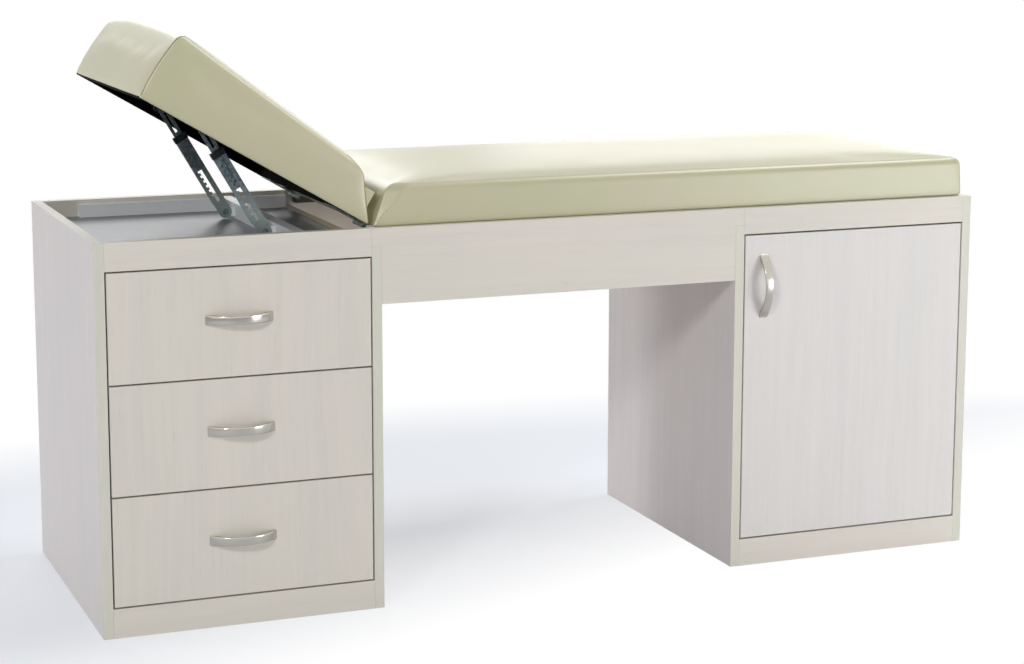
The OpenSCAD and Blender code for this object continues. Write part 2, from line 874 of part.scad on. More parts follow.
module moving_hinge_leaf() {
  leaf_plate(frame_start + batten, under);
  knuckle_on_leaf([-knuckle / 2 + knuckle_play, knuckle / 2 - knuckle_play], under);
}

module head_hinge_fixed_leaves() {
  color(bright) in_case() front_and_back() translate([hinge_x, hinge_inset, hinge_z])
    fixed_hinge_leaf();
}

module head_hinge_moving_leaves() {
  color(bright) in_case() front_and_back() on_head() translate([0, hinge_inset, 0])
    mirror([1, 0, 0]) moving_hinge_leaf();
}

module head_hinge_pins() {
  color(steel) in_case() front_and_back()
    rod_y([hinge_x, hinge_inset - hinge_length / 2, hinge_z], hinge_length, hinge_pin);
}

// Struts. In a strut's own frame Z runs up its length from its foot pivot and
// Y = 0 is the front face of its channel.

crossbar_gap = 20;
crossbar_width = 23;
crossbar_height = 29.5;
crossbar_wall = 1.5;
crossbar_x = strut_x + crossbar_gap;
flange_start = 24;
slot_width = 6;
slot_start = 28;
slot_end_margin = 18;
notch_depth = 3.5;
notch_length = 5;
collar_length = 12;
collar_steel = 1.2;
collar_lip = 4;
bar_steel = 2;
bar_slot_width = 5;
bar_slot = [14, 60];
catch_inset = 10;
catch_radius = 2.6;
catch_head = 4;
rivet_head = 6;
head_steel = 1.2;
foot_y = strut_steel + soft_gap;
bar_y = channel_depth - bar_steel - 3 * soft_gap;
ear_y = channel_depth + collar_steel + run_gap;
ear_steel = 2;
ear_reach = 14;
ear_base = 26;
bracket_radius = 10;
bracket_flange = 28;

module each_strut() {
  for (y = strut_ys) translate([strut_x, y, strut_z]) rotate([0, -strut_lean, 0]) children();
}

module each_strut_foot() {
  for (y = strut_ys) translate([strut_x, y, strut_z]) children();
}

module strut_crossbar() {
  y = [board + support_rail_width, back_inner_y - support_rail_width];
  x = [crossbar_x, crossbar_x + crossbar_width];
  z = [tray_z, tray_z + crossbar_height];
  wall = crossbar_wall;
  color(bright) in_case() difference() {
    block(x, y, z);
    block([x[0] + wall, x[1] - wall], grown(y, over), [z[0] - over, z[1] - wall]);
  }
}

module strut_foot_brackets() {
  y = [foot_y, foot_y + ear_steel];
  color(bright) in_case() each_strut_foot() difference() {
    union() {
      rod_y([0, y[0], 0], ear_steel, bracket_radius);
      block([0, crossbar_gap], y, [-bracket_radius, bracket_radius]);
      block([crossbar_gap - ear_steel, crossbar_gap], [y[0], y[0] + bracket_flange],
        [-bracket_radius, bracket_radius]);
    }
    rod_y([0, y[0] - over, 0], ear_steel + 2 * over, rivet + pin_play);
  }
}

module strut_foot_pins() {
  back = foot_y + ear_steel;
  color(steel) in_case() each_strut_foot() {
    rod_y([0, -soft_gap - head_steel, 0], back + soft_gap + 2 * head_steel, rivet);
    rod_y([0, -soft_gap - head_steel, 0], head_steel, rivet_head);
    rod_y([0, back, 0], head_steel, rivet_head);
  }
}

module notches() {
  for (z = [slot_start + notch_pitch : notch_pitch : channel_length - slot_end_margin - notch_pitch])
    block([-slot_width / 2 - notch_depth, 0], [-over, strut_steel + over], [z, z + notch_length]);
}

module strut_channel() {
  half = channel_width / 2;
  slot_end = channel_length - slot_end_margin;
  difference() {
    union() {
      rod_y([0, 0, 0], strut_steel, half);
      block([-half, half], [0, strut_steel], [0, channel_length]);
      for (side = [-half, half - strut_steel])
        block([side, side + strut_steel], [0, channel_depth], [flange_start, channel_length]);
    }
    rod_y([0, -over, 0], strut_steel + 2 * over, rivet + pin_play);
    block([-slot_width / 2, slot_width / 2], [-over, strut_steel + over],
      [slot_start, slot_end]);
    rod_y([0, -over, slot_start], strut_steel + 2 * over, slot_width / 2);
    rod_y([0, -over, slot_end], strut_steel + 2 * over, slot_width / 2);
    notches();
  }
}

module strut_channels() {
  color(steel) in_case() each_strut() strut_channel();
}

// A band folded round the front, sides and back edges of a channel
module strut_collars() {
  outer = channel_width / 2 + pin_play + collar_steel;
  inner = channel_width / 2 + pin_play;
  z = [channel_length - collar_length, channel_length];
  color(steel) in_case() each_strut() difference() {
    block([-outer, outer], [-collar_steel - pin_play, channel_depth + collar_steel], z);
    block([-inner, inner], [-pin_play, channel_depth + pin_play], grown(z, over));
    block([-inner + collar_lip, inner - collar_lip],
      [channel_depth, channel_depth + collar_steel + over], grown(z, over));
  }
}

module strut_bars() {
  half = bar_width / 2;
  y = [bar_y, bar_y + bar_steel];
  color(steel) in_case() each_strut() difference() {
    union() {
      rod_y([0, y[0], strut_length], bar_steel, half);
      block([-half, half], y, [strut_length - bar_length, strut_length]);
    }
    rod_y([0, y[0] - over, strut_length], bar_steel + 2 * over, rivet + pin_play);
    rod_y([0, y[0] - over, strut_length - bar_length + catch_inset], bar_steel + 2 * over,
      catch_radius);
    block([-bar_slot_width / 2, bar_slot_width / 2], grown(y, over),
      [strut_length - bar_slot[1], strut_length - bar_slot[0]]);
  }
}

module strut_catch_pins() {
  z = strut_length - bar_length + catch_inset;
  color(steel) in_case() each_strut() {
    rod_y([0, -soft_gap - head_steel, z], soft_gap + head_steel + bar_y + bar_steel,
      catch_radius - pin_play);
    rod_y([0, -soft_gap - head_steel, z], head_steel, catch_head);
  }
}

// The rivet ends at the face of the pad's bracket: the linkage is open there
module strut_top_rivets() {
  color(steel) in_case() each_strut() {
    rod_y([0, bar_y - head_steel, strut_length], ear_y - soft_gap - bar_y + head_steel, rivet);
    rod_y([0, bar_y - head_steel, strut_length], head_steel, rivet + head_steel);
  }
}

// The struts' top pivots from the head hinge axis, level and then in the head
// section's frame
strut_top_along = strut_x - hinge_x - strut_length * sin(strut_lean);
strut_top_up = strut_z - hinge_z + strut_length * cos(strut_lean);
strut_top_u = strut_top_along * cos(head_tilt) - strut_top_up * sin(head_tilt);
strut_top_n = strut_top_along * sin(head_tilt) + strut_top_up * cos(head_tilt);

module each_strut_top() {
  for (y = strut_ys) translate([strut_top_u, y, strut_top_n]) children();
}

module strut_top_brackets() {
  top = frame_top - strut_top_n;
  y = [ear_y, ear_y + ear_steel];
  color(steel) in_case() on_head() each_strut_top() difference() {
    union() {
      rod_y([0, y[0], 0], ear_steel, ear_reach);
      block([-ear_reach, ear_reach], y, [0, top]);
      block([-ear_reach, ear_reach], [y[0], y[0] + ear_base], [top - ear_steel, top]);
    }
    rod_y([0, y[0] - over, 0], ear_steel + 2 * over, rivet + pin_play);
  }
}

left_end_panel();
right_end_panel();
drawer_inner_side();
cupboard_inner_side();
drawer_case_top();
cupboard_case_top();
drawer_case_bottom();
cupboard_case_bottom();
drawer_case_back();
cupboard_back();
plinths();
drawer_top_rail();
cupboard_top_rail();
front_apron();
rear_apron();
rear_top_rails();
cupboard_shelf();
shelf_pins();
pad_bearers();
support_rails();
main_pad_board();
main_pad();
case_runners();
strut_crossbar();
strut_foot_brackets();
strut_foot_pins();
head_hinge_fixed_leaves();
head_hinge_pins();
door_hinge_arms();
door_hinge_plates();
drawer_top_front();
drawer_top_handle();
drawer_top_box();
drawer_top_bottom();
drawer_top_runners();
drawer_middle_front();
drawer_middle_handle();
drawer_middle_box();
drawer_middle_bottom();
drawer_middle_runners();
drawer_bottom_front();
drawer_bottom_handle();
drawer_bottom_box();
drawer_bottom_bottom();
drawer_bottom_runners();
door_panel();
door_handle();
door_hinge_cups();
door_hinge_pins();
head_pad();
head_pad_board();
head_pad_frame();
head_hinge_moving_leaves();
strut_top_brackets();
strut_channels();
strut_collars();
strut_bars();
strut_top_rivets();
strut_catch_pins();
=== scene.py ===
import json
import math
from typing import NamedTuple

import bmesh
import bpy
import numpy as np
from mathutils import Matrix, Vector
from mathutils.bvhtree import BVHTree

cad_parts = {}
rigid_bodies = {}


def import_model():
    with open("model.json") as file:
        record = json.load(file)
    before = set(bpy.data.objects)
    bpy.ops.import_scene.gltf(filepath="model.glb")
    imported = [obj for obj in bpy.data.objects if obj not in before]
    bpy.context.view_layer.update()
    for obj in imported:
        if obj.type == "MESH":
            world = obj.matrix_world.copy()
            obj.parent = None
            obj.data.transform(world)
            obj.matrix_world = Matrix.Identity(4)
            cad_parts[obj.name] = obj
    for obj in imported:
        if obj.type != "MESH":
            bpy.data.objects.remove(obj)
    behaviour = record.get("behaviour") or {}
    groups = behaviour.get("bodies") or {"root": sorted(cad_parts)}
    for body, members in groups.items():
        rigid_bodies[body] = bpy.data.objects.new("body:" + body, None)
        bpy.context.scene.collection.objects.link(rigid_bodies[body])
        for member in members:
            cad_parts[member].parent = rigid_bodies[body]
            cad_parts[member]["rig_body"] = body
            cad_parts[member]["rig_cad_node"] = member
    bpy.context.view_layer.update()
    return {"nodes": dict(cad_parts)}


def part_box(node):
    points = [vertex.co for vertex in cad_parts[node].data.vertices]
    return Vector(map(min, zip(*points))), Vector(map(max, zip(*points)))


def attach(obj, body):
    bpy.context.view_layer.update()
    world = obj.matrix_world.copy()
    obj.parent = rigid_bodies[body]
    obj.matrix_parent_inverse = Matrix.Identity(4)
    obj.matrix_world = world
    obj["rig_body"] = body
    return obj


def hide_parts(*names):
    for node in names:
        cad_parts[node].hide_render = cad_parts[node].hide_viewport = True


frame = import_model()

NODES = frame["nodes"]
SCENE = bpy.context.scene

# From the part's source: the fronts' face, the head hinge, and the head pad's tilt at rest
FRONT = -0.291
HINGE = Vector((-0.38, 0.014, 0.7225))
HEAD_TILT = math.radians(30.5)


# Camera

def add_camera():
    """The photograph's view: its place, turn and lens."""
    data = bpy.data.cameras.new("view")
    camera = bpy.data.objects.new("view", data)
    SCENE.collection.objects.link(camera)
    camera.location = (-1.69538, -4.31489, 1.34224)
    camera.rotation_euler = (1.408076, -0.001044, -0.375838)
    data.lens = 81.577
    data.sensor_width = 36
    data.shift_y = -0.0605
    data.clip_end = 50
    SCENE.camera = camera


# Shader helpers

class Shader:
    """A material's or a group's node tree, filled node by node."""

    def __init__(self, tree):
        self.tree = tree

    def node(self, kind, inputs=None, **settings):
        made = self.tree.nodes.new(kind)
        for key, value in settings.items():
            setattr(made, key, value)
        for key, value in (inputs or {}).items():
            self.feed(made.inputs[key], value)
        return made

    def feed(self, socket, value):
        if isinstance(value, bpy.types.NodeSocket):
            self.tree.links.new(value, socket)
        else:
            socket.default_value = value

    def math(self, operation, a, b=0.0, clamp=False):
        made = self.node("ShaderNodeMath", {0: a, 1: b}, operation=operation)
        made.use_clamp = clamp
        return made.outputs[0]

    def noise(self, vector, scale, detail=2.0, roughness=0.5):
        return self.node("ShaderNodeTexNoise", {"Vector": vector, "Scale": scale,
            "Detail": detail, "Roughness": roughness}).outputs["Fac"]

    def ramp(self, value, low, high, out_low=0.0, out_high=1.0):
        """Maps low..high to out_low..out_high, clamped."""
        return self.node("ShaderNodeMapRange", {"Value": value, "From Min": low,
            "From Max": high, "To Min": out_low, "To Max": out_high}).outputs["Result"]

    def mix(self, share, a, b):
        """A colour between a and b, by the colour sockets of a Mix node."""
        made = self.node("ShaderNodeMix", data_type="RGBA")
        self.feed(made.inputs[0], share)
        self.feed(made.inputs[6], a)
        self.feed(made.inputs[7], b)
        return made.outputs[2]

    def stretch(self, vector, scale, turn=(0, 0, 0), shift=(0, 0, 0)):
        return self.node("ShaderNodeMapping", {"Vector": vector, "Location": shift,
            "Rotation": turn, "Scale": scale}).outputs[0]


def colour(red, green, blue):
    """A colour as the eye reads it, 0 to 255, made linear."""
    def linear(c):
        c /= 255
        return c / 12.92 if c <= 0.04045 else ((c + 0.055) / 1.055) ** 2.4
    return (linear(red), linear(green), linear(blue), 1.0)


def new_group(name, inputs, outputs):
    """An empty shader group with its named sockets."""
    tree = bpy.data.node_groups.new(name, "ShaderNodeTree")
    kinds = {"vector": "NodeSocketVector", "colour": "NodeSocketColor", "value": "NodeSocketFloat"}
    for socket, kind in inputs.items():
        tree.interface.new_socket(socket, in_out="INPUT", socket_type=kinds[kind])
    for socket, kind in outputs.items():
        tree.interface.new_socket(socket, in_out="OUTPUT", socket_type=kinds[kind])
    shader = Shader(tree)
    given = shader.node("NodeGroupInput").outputs
    made = shader.node("NodeGroupOutput").inputs
    return shader, given, made


def wood_print_group():
    """Washed ash print. The grain runs along Z of the vector that it is given, and the
    noise is scaled in cycles for each metre, across the grain twice and then along it."""
    s, given, made = new_group("wood print",
        {"Vector": "vector", "Ground": "colour", "Warm": "colour", "Cool": "colour",
         "Pore": "colour", "Strength": "value"},
        {"Colour": "colour", "Height": "value", "Gloss": "value"})
    v = given["Vector"]
    strength = given["Strength"]
    wander = s.noise(s.stretch(v, (3.0, 3.0, 1.2)), 1.0)
    bent = s.node("ShaderNodeVectorMath", {0: v}, operation="ADD")
    s.feed(bent.inputs[1], s.node("ShaderNodeCombineXYZ",
        {"X": s.ramp(wander, 0.3, 0.7, -0.012, 0.012)}).outputs[0])
    along = bent.outputs[0]
    patches = s.noise(s.stretch(along, (7.0, 7.0, 1.1)), 1.0, 3.0, 0.55)
    tones = s.noise(s.stretch(along, (16.0, 16.0, 1.6), shift=(3, 7, 1)), 1.0, 3.0, 0.6)
    streaks = s.noise(s.stretch(along, (95.0, 95.0, 2.4)), 1.0, 4.0, 0.62)
    fibres = s.noise(s.stretch(along, (420.0, 420.0, 9.0)), 1.0, 3.0, 0.6)
    pores = s.noise(s.stretch(along, (700.0, 700.0, 26.0), shift=(11, 5, 2)), 1.0, 1.0, 0.5)
    base = s.mix(s.math("MULTIPLY", s.ramp(patches, 0.38, 0.68), strength),
        given["Ground"], given["Warm"])
    base = s.mix(s.math("MULTIPLY", s.ramp(tones, 0.4, 0.7), strength), base, given["Cool"])
    light = s.ramp(streaks, 0.3, 0.7, 0.98, 1.014)
    light = s.math("MULTIPLY", light, s.ramp(fibres, 0.3, 0.7, 0.99, 1.008))
    streaked = s.node("ShaderNodeVectorMath", {0: base}, operation="SCALE")
    s.feed(streaked.inputs["Scale"], light)
    dark = s.math("MULTIPLY", s.ramp(pores, 0.66, 0.74), s.ramp(streaks, 0.55, 0.4))
    dark = s.math("MULTIPLY", dark, 0.22)
    s.feed(made["Colour"], s.mix(dark, streaked.outputs[0], given["Pore"]))
    s.feed(made["Height"], s.math("SUBTRACT", s.math("MULTIPLY", fibres, 0.6), dark))
    s.feed(made["Gloss"], s.ramp(fibres, 0.3, 0.7, 0.42, 0.52))
    return s.tree


def smudge_group():
    """Faint uneven gloss, as handling and cleaning leave it."""
    s, given, made = new_group("smudge", {"Vector": "vector", "Base": "value", "Spread": "value"},
        {"Roughness": "value"})
    broad = s.noise(s.stretch(given["Vector"], (6, 6, 6)), 1.0, 3.0, 0.6)
    fine = s.noise(s.stretch(given["Vector"], (45, 45, 45)), 1.0, 2.0, 0.5)
    both = s.math("ADD", s.math("MULTIPLY", broad, 0.7), s.math("MULTIPLY", fine, 0.3))
    swing = s.math("MULTIPLY", s.math("SUBTRACT", both, 0.5), given["Spread"])
    s.feed(made["Roughness"], s.math("ADD", given["Base"], swing, clamp=True))
    return s.tree


def brushed_group():
    """Fine lines of a brushed or drawn metal, along Z of its vector."""
    s, given, made = new_group("brushed", {"Vector": "vector", "Fineness": "value"},
        {"Lines": "value"})
    v = s.node("ShaderNodeVectorMath", {0: s.stretch(given["Vector"], (1.0, 1.0, 0.03))},
        operation="SCALE")
    s.feed(v.inputs["Scale"], given["Fineness"])
    s.feed(made["Lines"], s.noise(v.outputs[0], 1.0, 4.0, 0.65))
    return s.tree


WOOD_PRINT = wood_print_group()
SMUDGE = smudge_group()
BRUSHED = brushed_group()


def new_material(name):
    """A material with its Principled shader, and Object coordinates."""
    material = bpy.data.materials.new(name)
    material.use_nodes = True
    s = Shader(material.node_tree)
    s.tree.nodes.clear()
    skin = s.node("ShaderNodeBsdfPrincipled")
    out = s.node("ShaderNodeOutputMaterial")
    s.feed(out.inputs["Surface"], skin.outputs[0])
    place = s.node("ShaderNodeTexCoord").outputs["Object"]
    return material, s, skin, place


def add_group(s, tree, **inputs):
    made = s.node("ShaderNodeGroup", node_tree=tree)
    for key, value in inputs.items():
        s.feed(made.inputs[key], value)
    return made.outputs


def add_bump(s, skin, height, distance, strength):
    """A bump from a height that is distance deep, in metres."""
    bump = s.node("ShaderNodeBump", {"Height": height, "Distance": distance,
        "Strength": strength})
    s.feed(skin.inputs["Normal"], bump.outputs["Normal"])


def add_smudges(s, skin, place, base, spread):
    """Uneven roughness about a base value."""
    rough = add_group(s, SMUDGE, Vector=place, Base=base, Spread=spread)["Roughness"]
    s.feed(skin.inputs["Roughness"], rough)


# Turns that bring the grain upright, or along X
UPRIGHT = (0, 0, 0)
LYING = (0, math.pi / 2, 0)
# Colour of the laminate's pores, and how strongly its tones vary
PORE = colour(172, 166, 156)
PRINT_STRENGTH = 0.7


def laminate(name, grain, shift, ground, warm, cool):
    """Washed ash laminate with its grain turned, and its print shifted, for a panel."""
    material, s, skin, place = new_material(name)
    v = s.stretch(place, (1, 1, 1), turn=grain, shift=shift)
    wood = add_group(s, WOOD_PRINT, Vector=v, Ground=colour(*ground), Warm=colour(*warm),
        Cool=colour(*cool), Pore=PORE, Strength=PRINT_STRENGTH)
    s.feed(skin.inputs["Base Color"], wood["Colour"])
    s.feed(skin.inputs["Roughness"], wood["Gloss"])
    add_bump(s, skin, wood["Height"], 0.00012, 0.6)
    return material


def edge_band():
    """Cream band glued on the boards' edges."""
    material, s, skin, place = new_material("edge band")
    wood = add_group(s, WOOD_PRINT, Vector=place, Ground=colour(221, 218, 203),
        Warm=colour(224, 217, 204), Cool=colour(213, 213, 200), Pore=PORE, Strength=0.5)
    s.feed(skin.inputs["Base Color"], wood["Colour"])
    add_smudges(s, skin, place, 0.45, 0.15)
    add_bump(s, skin, wood["Height"], 0.0001, 0.4)
    return material


def melamine(name, dull, pale, mirror):
    """Smooth board with a faint orange peel. mirror is its specular level."""
    material, s, skin, place = new_material(name)
    cloud = s.noise(place, 5.0, 3.0)
    s.feed(skin.inputs["Base Color"], s.mix(s.ramp(cloud, 0.3, 0.7), dull, pale))
    s.feed(skin.inputs["Roughness"], s.ramp(cloud, 0.3, 0.7, 0.34, 0.42))
    skin.inputs["Specular IOR Level"].default_value = mirror
    add_bump(s, skin, s.noise(place, 700.0, 2.0), 0.00005, 0.5)
    return material


def plywood(name, ground, warm, cool, pore):
    """Plywood: face grain along X, plies that show at the edges."""
    material, s, skin, place = new_material(name)
    v = s.stretch(place, (1, 1, 1), turn=LYING)
    wood = add_group(s, WOOD_PRINT, Vector=v, Ground=ground, Warm=warm, Cool=cool, Pore=pore,
        Strength=1.0)
    plies = s.node("ShaderNodeTexWave", {"Vector": place, "Scale": 110.0, "Distortion": 1.5,
        "Detail": 2.0}, bands_direction="Z").outputs["Fac"]
    layered = s.mix(s.ramp(plies, 0.3, 0.9, 0.0, 0.22), wood["Colour"], pore)
    s.feed(skin.inputs["Base Color"], layered)
    skin.inputs["Roughness"].default_value = 0.72
    add_bump(s, skin, wood["Height"], 0.0003, 0.6)
    return material


def olive_vinyl():
    """Pale olive upholstery vinyl: pebbled grain, soft sheen, faint uneven tone."""
    material, s, skin, place = new_material("olive vinyl")
    cloud = s.noise(place, 3.2, 3.0, 0.55)
    tone = s.mix(s.ramp(cloud, 0.38, 0.62), colour(189, 187, 150), colour(193, 186, 154))
    shade = s.noise(s.stretch(place, (1, 1, 1), shift=(4, 1, 8)), 9.0, 2.0, 0.5)
    tone = s.mix(s.ramp(shade, 0.4, 0.7, 0.0, 0.35), tone, colour(185, 186, 148))
    pebble = s.node("ShaderNodeTexVoronoi", {"Vector": place, "Scale": 620.0,
        "Randomness": 1.0}, feature="SMOOTH_F1").outputs["Distance"]
    wrinkle = s.noise(place, 260.0, 4.0, 0.6)
    grain = s.math("ADD", s.math("MULTIPLY", pebble, 0.7), s.math("MULTIPLY", wrinkle, 0.5))
    deep = s.ramp(grain, 0.35, 0.15, 0.0, 0.25)
    s.feed(skin.inputs["Base Color"], s.mix(deep, tone, colour(172, 168, 130)))
    add_smudges(s, skin, place, 0.4, 0.14)
    skin.inputs["Specular IOR Level"].default_value = 0.85
    skin.inputs["Coat Weight"].default_value = 0.2
    skin.inputs["Coat Roughness"].default_value = 0.35
    add_bump(s, skin, grain, 0.00022, 0.55)
    return material


def thread_and_seam_shadow():
    """Twisted olive thread, darker than the vinyl. On the seams' beads its dark tone is painted
    shadow of the seams' grooves, and on the stitches it is the thread's own colour.
    """
    material, s, skin, place = new_material("thread")
    twist = s.node("ShaderNodeTexWave", {"Vector": place, "Scale": 900.0, "Distortion": 1.0},
        bands_direction="DIAGONAL").outputs["Fac"]
    s.feed(skin.inputs["Base Color"], s.mix(twist, colour(112, 107, 74), colour(134, 128, 92)))
    skin.inputs["Roughness"].default_value = 0.7
    add_bump(s, skin, twist, 0.0001, 0.6)
    return material


def black_lining():
    """Black dust cloth on the underside: a fine even weave."""
    material, s, skin, place = new_material("black lining")
    warp = s.node("ShaderNodeTexWave", {"Vector": place, "Scale": 260.0},
        bands_direction="X").outputs["Fac"]
    weft = s.node("ShaderNodeTexWave", {"Vector": place, "Scale": 260.0},
        bands_direction="Y").outputs["Fac"]
    weave = s.math("MULTIPLY", warp, weft)
    fuzz = s.noise(place, 40.0, 4.0, 0.6)
    s.feed(skin.inputs["Base Color"], s.mix(s.math("MULTIPLY", weave, fuzz), colour(4, 4, 5),
        colour(16, 16, 17)))
    skin.inputs["Roughness"].default_value = 0.95
    skin.inputs["Specular IOR Level"].default_value = 0.1
    add_bump(s, skin, weave, 0.0002, 0.5)
    return material


def painted_steel():
    """White paint on folded steel, with a faint orange peel."""
    material, s, skin, place = new_material("painted steel")
    cloud = s.noise(place, 14.0, 3.0)
    s.feed(skin.inputs["Base Color"], s.mix(s.ramp(cloud, 0.35, 0.65), colour(240, 244, 245),
        colour(245, 247, 247)))
    add_smudges(s, skin, place, 0.34, 0.2)
    add_bump(s, skin, s.noise(place, 900.0, 2.0), 0.00004, 0.5)
    return material


# Heights between which a strut's tone goes over into the paler tone of its foot, a painted
# reflection of the bright tray below
FOOT_REFLECTION_FADE = (0.80, 0.73)


def zinc(name, pale, dark, metal, base, foot=None):
    """Zinc-plated or galvanised steel: spangles, drawn lines and dull spots. metal and base are
    its metallic share and roughness, and foot is a paler tone painted at a strut's foot as a
    reflection of the bright tray."""
    material, s, skin, place = new_material(name)
    spangle = s.node("ShaderNodeTexVoronoi", {"Vector": place, "Scale": 210.0},
        feature="F1").outputs["Color"]
    tone = s.node("ShaderNodeSeparateColor", {"Color": spangle}).outputs[0]
    lines = add_group(s, BRUSHED, Vector=place, Fineness=900.0)["Lines"]
    spots = s.noise(place, 260.0, 3.0, 0.6)
    share = s.math("ADD", s.math("MULTIPLY", tone, 0.45), s.math("MULTIPLY", lines, 0.55))
    plated = s.mix(s.ramp(share, 0.2, 0.8), dark, pale)
    # A strut's foot is painted paler, as the reflection of the bright tray below it
    if foot:
        height = s.node("ShaderNodeSeparateXYZ", {"Vector": place}).outputs["Z"]
        plated = s.mix(s.ramp(height, *FOOT_REFLECTION_FADE), plated, foot)
    dull = s.ramp(spots, 0.56, 0.7)
    s.feed(skin.inputs["Base Color"], s.mix(s.math("MULTIPLY", dull, 0.25), plated, dark))
    skin.inputs["Metallic"].default_value = metal
    rough = add_group(s, SMUDGE, Vector=place, Base=base, Spread=0.2)["Roughness"]
    s.feed(skin.inputs["Roughness"], s.math("ADD", rough, s.math("MULTIPLY", dull, 0.08)))
    add_bump(s, skin, lines, 0.00003, 0.4)
    return material


def satin_nickel():
    """Nickel plate, finely brushed along the handle."""
    material, s, skin, place = new_material("satin nickel")
    lines = add_group(s, BRUSHED, Vector=s.stretch(place, (1, 1, 1), turn=LYING),
        Fineness=1600.0)["Lines"]
    s.feed(skin.inputs["Base Color"], s.mix(s.ramp(lines, 0.3, 0.7), colour(188, 183, 172),
        colour(205, 200, 190)))
    skin.inputs["Metallic"].default_value = 1.0
    add_smudges(s, skin, place, 0.15, 0.08)
    add_bump(s, skin, lines, 0.00002, 0.4)
    return material


EDGE_BAND = edge_band()
MELAMINE = melamine("white melamine", colour(222, 222, 226), colour(230, 230, 231), 0.5)
# White board darkened to grey: painted shade of the head pad over the tray
TRAY_SHADE_BOARD = melamine("melamine darkened as tray shade", colour(128, 130, 136), colour(136, 138, 143), 0.34)
PLYWOOD = plywood("plywood", colour(214, 186, 142), colour(205, 170, 124),
    colour(220, 198, 160), colour(150, 112, 70))
# Plywood darkened to a dark brown-grey: painted shade under the pads
UNDER_PAD_SHADE_PLYWOOD = plywood("plywood darkened as shade", colour(84, 76, 68), colour(92, 80, 68),
    colour(74, 70, 66), colour(48, 42, 38))
VINYL = olive_vinyl()
THREAD_AND_SEAM_SHADOW = thread_and_seam_shadow()
LINING = black_lining()
PAINTED = painted_steel()
BRIGHT = zinc("bright zinc", colour(222, 222, 226), colour(176, 178, 184), 0.9, 0.3)
GALVANISED = zinc("galvanised steel", colour(148, 160, 160), colour(92, 104, 106), 0.85, 0.38)
# Blued steel with a paler foot: painted reflection of the bright tray
BLUED_WITH_FOOT_REFLECTION = zinc("blued steel with painted foot reflection", colour(128, 140, 146), colour(78, 88, 96), 0.8, 0.36,
    colour(160, 174, 170))
DARK_STEEL = zinc("dark steel", colour(46, 50, 54), colour(24, 27, 30), 0.7, 0.42)
NICKEL = satin_nickel()


# Mesh helpers

def only(piece):
    """Selects this piece alone, and makes it active."""
    bpy.ops.object.select_all(action="DESELECT")
    piece.select_set(True)
    bpy.context.view_layer.objects.active = piece


def new_piece(mesh, name):
    """A piece from a mesh, its faces turned outwards."""
    bmesh.ops.recalc_face_normals(mesh, faces=mesh.faces)
    data = bpy.data.meshes.new(name)
    mesh.to_mesh(data)
    mesh.free()
    piece = bpy.data.objects.new(name, data)
    SCENE.collection.objects.link(piece)
    return piece


def bridge(mesh, low, high):
    """A band of faces between two rings of vertices."""
    for i in range(len(low)):
        j = (i + 1) % len(low)
        mesh.faces.new((low[i], low[j], high[j], high[i]))


def add_skin(mesh, rings):
    """A closed skin over rings of points, with its ends capped."""
    rows = [[mesh.verts.new(point) for point in ring] for ring in rings]
    for low, high in zip(rows, rows[1:]):
        bridge(mesh, low, high)
    mesh.faces.new(rows[0][::-1])
    mesh.faces.new(rows[-1])


def loft(name, rings):
    """A piece that is one closed skin over rings of points."""
    mesh = bmesh.new()
    add_skin(mesh, rings)
    return new_piece(mesh, name)


def round_ring(count):
    """Cosines and sines of evenly spread angles."""
    turns = (2 * math.pi * k / count for k in range(count))
    return [(math.cos(turn), math.sin(turn)) for turn in turns]


def finish_piece(piece, name, body, slot, *materials):
    """Names a piece, gives it its materials, and makes it move with its body."""
    piece.name = name
    piece.data.name = name
    piece.data.materials.clear()
    for material in materials:
        piece.data.materials.append(material)
    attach(piece, body)


# How near vertices are merged, and how nearly in line faces are joined
SAME_PLACE = 0.00002
SAME_PLANE = math.radians(0.5)


def copy_of(node):
    """A merged copy of a CAD node, with flat faces whole again."""
    only(NODES[node])
    bpy.ops.object.duplicate()
    piece = bpy.context.active_object
    piece.parent = None
    # The copy is no CAD node, and rides on nothing yet
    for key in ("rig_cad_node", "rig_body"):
        if key in piece:
            del piece[key]
    only(piece)
    bpy.ops.object.mode_set(mode="EDIT")
    bpy.ops.mesh.select_all(action="SELECT")
    bpy.ops.mesh.remove_doubles(threshold=SAME_PLACE)
    bpy.ops.mesh.dissolve_limited(angle_limit=SAME_PLANE)
    bpy.ops.object.mode_set(mode="OBJECT")
    return piece


# Edges shorter than SHORT stay sharp, and faces larger than LARGE are shaded flat
SHORT = 0.006
LARGE = 0.0004
# The turn from which an edge is sharp, and up to which the rounded edges are smooth
SHARP_TURN = math.radians(30)
SMOOTH_TURN = math.radians(28)


def ease_edges(piece, width):
    """Rounds the sharp edges of a piece, and keeps its flat faces flat."""
    only(piece)
    bpy.ops.object.mode_set(mode="EDIT")
    bpy.ops.mesh.select_mode(type="EDGE")
    bpy.ops.mesh.select_all(action="DESELECT")
    bpy.ops.mesh.edges_select_sharp(sharpness=SHARP_TURN)
    mesh = bmesh.from_edit_mesh(piece.data)
    for edge in mesh.edges:
        if edge.select and edge.calc_length() < SHORT:
            edge.select_set(False)
    bmesh.update_edit_mesh(piece.data)
    bpy.ops.mesh.bevel(offset=width, segments=2, affect="EDGES", clamp_overlap=True)
    bpy.ops.object.mode_set(mode="OBJECT")
    bpy.ops.object.shade_smooth_by_angle(angle=SMOOTH_TURN)
    for face in piece.data.polygons:
        if face.area > LARGE:
            face.use_smooth = False


# How far the edges are rounded on boards, drawer sides, drawer bottoms and lined battens
BOARD_EASE = 0.0007
SIDE_EASE = 0.0005
THIN_EASE = 0.0004
LINED_EASE = 0.002
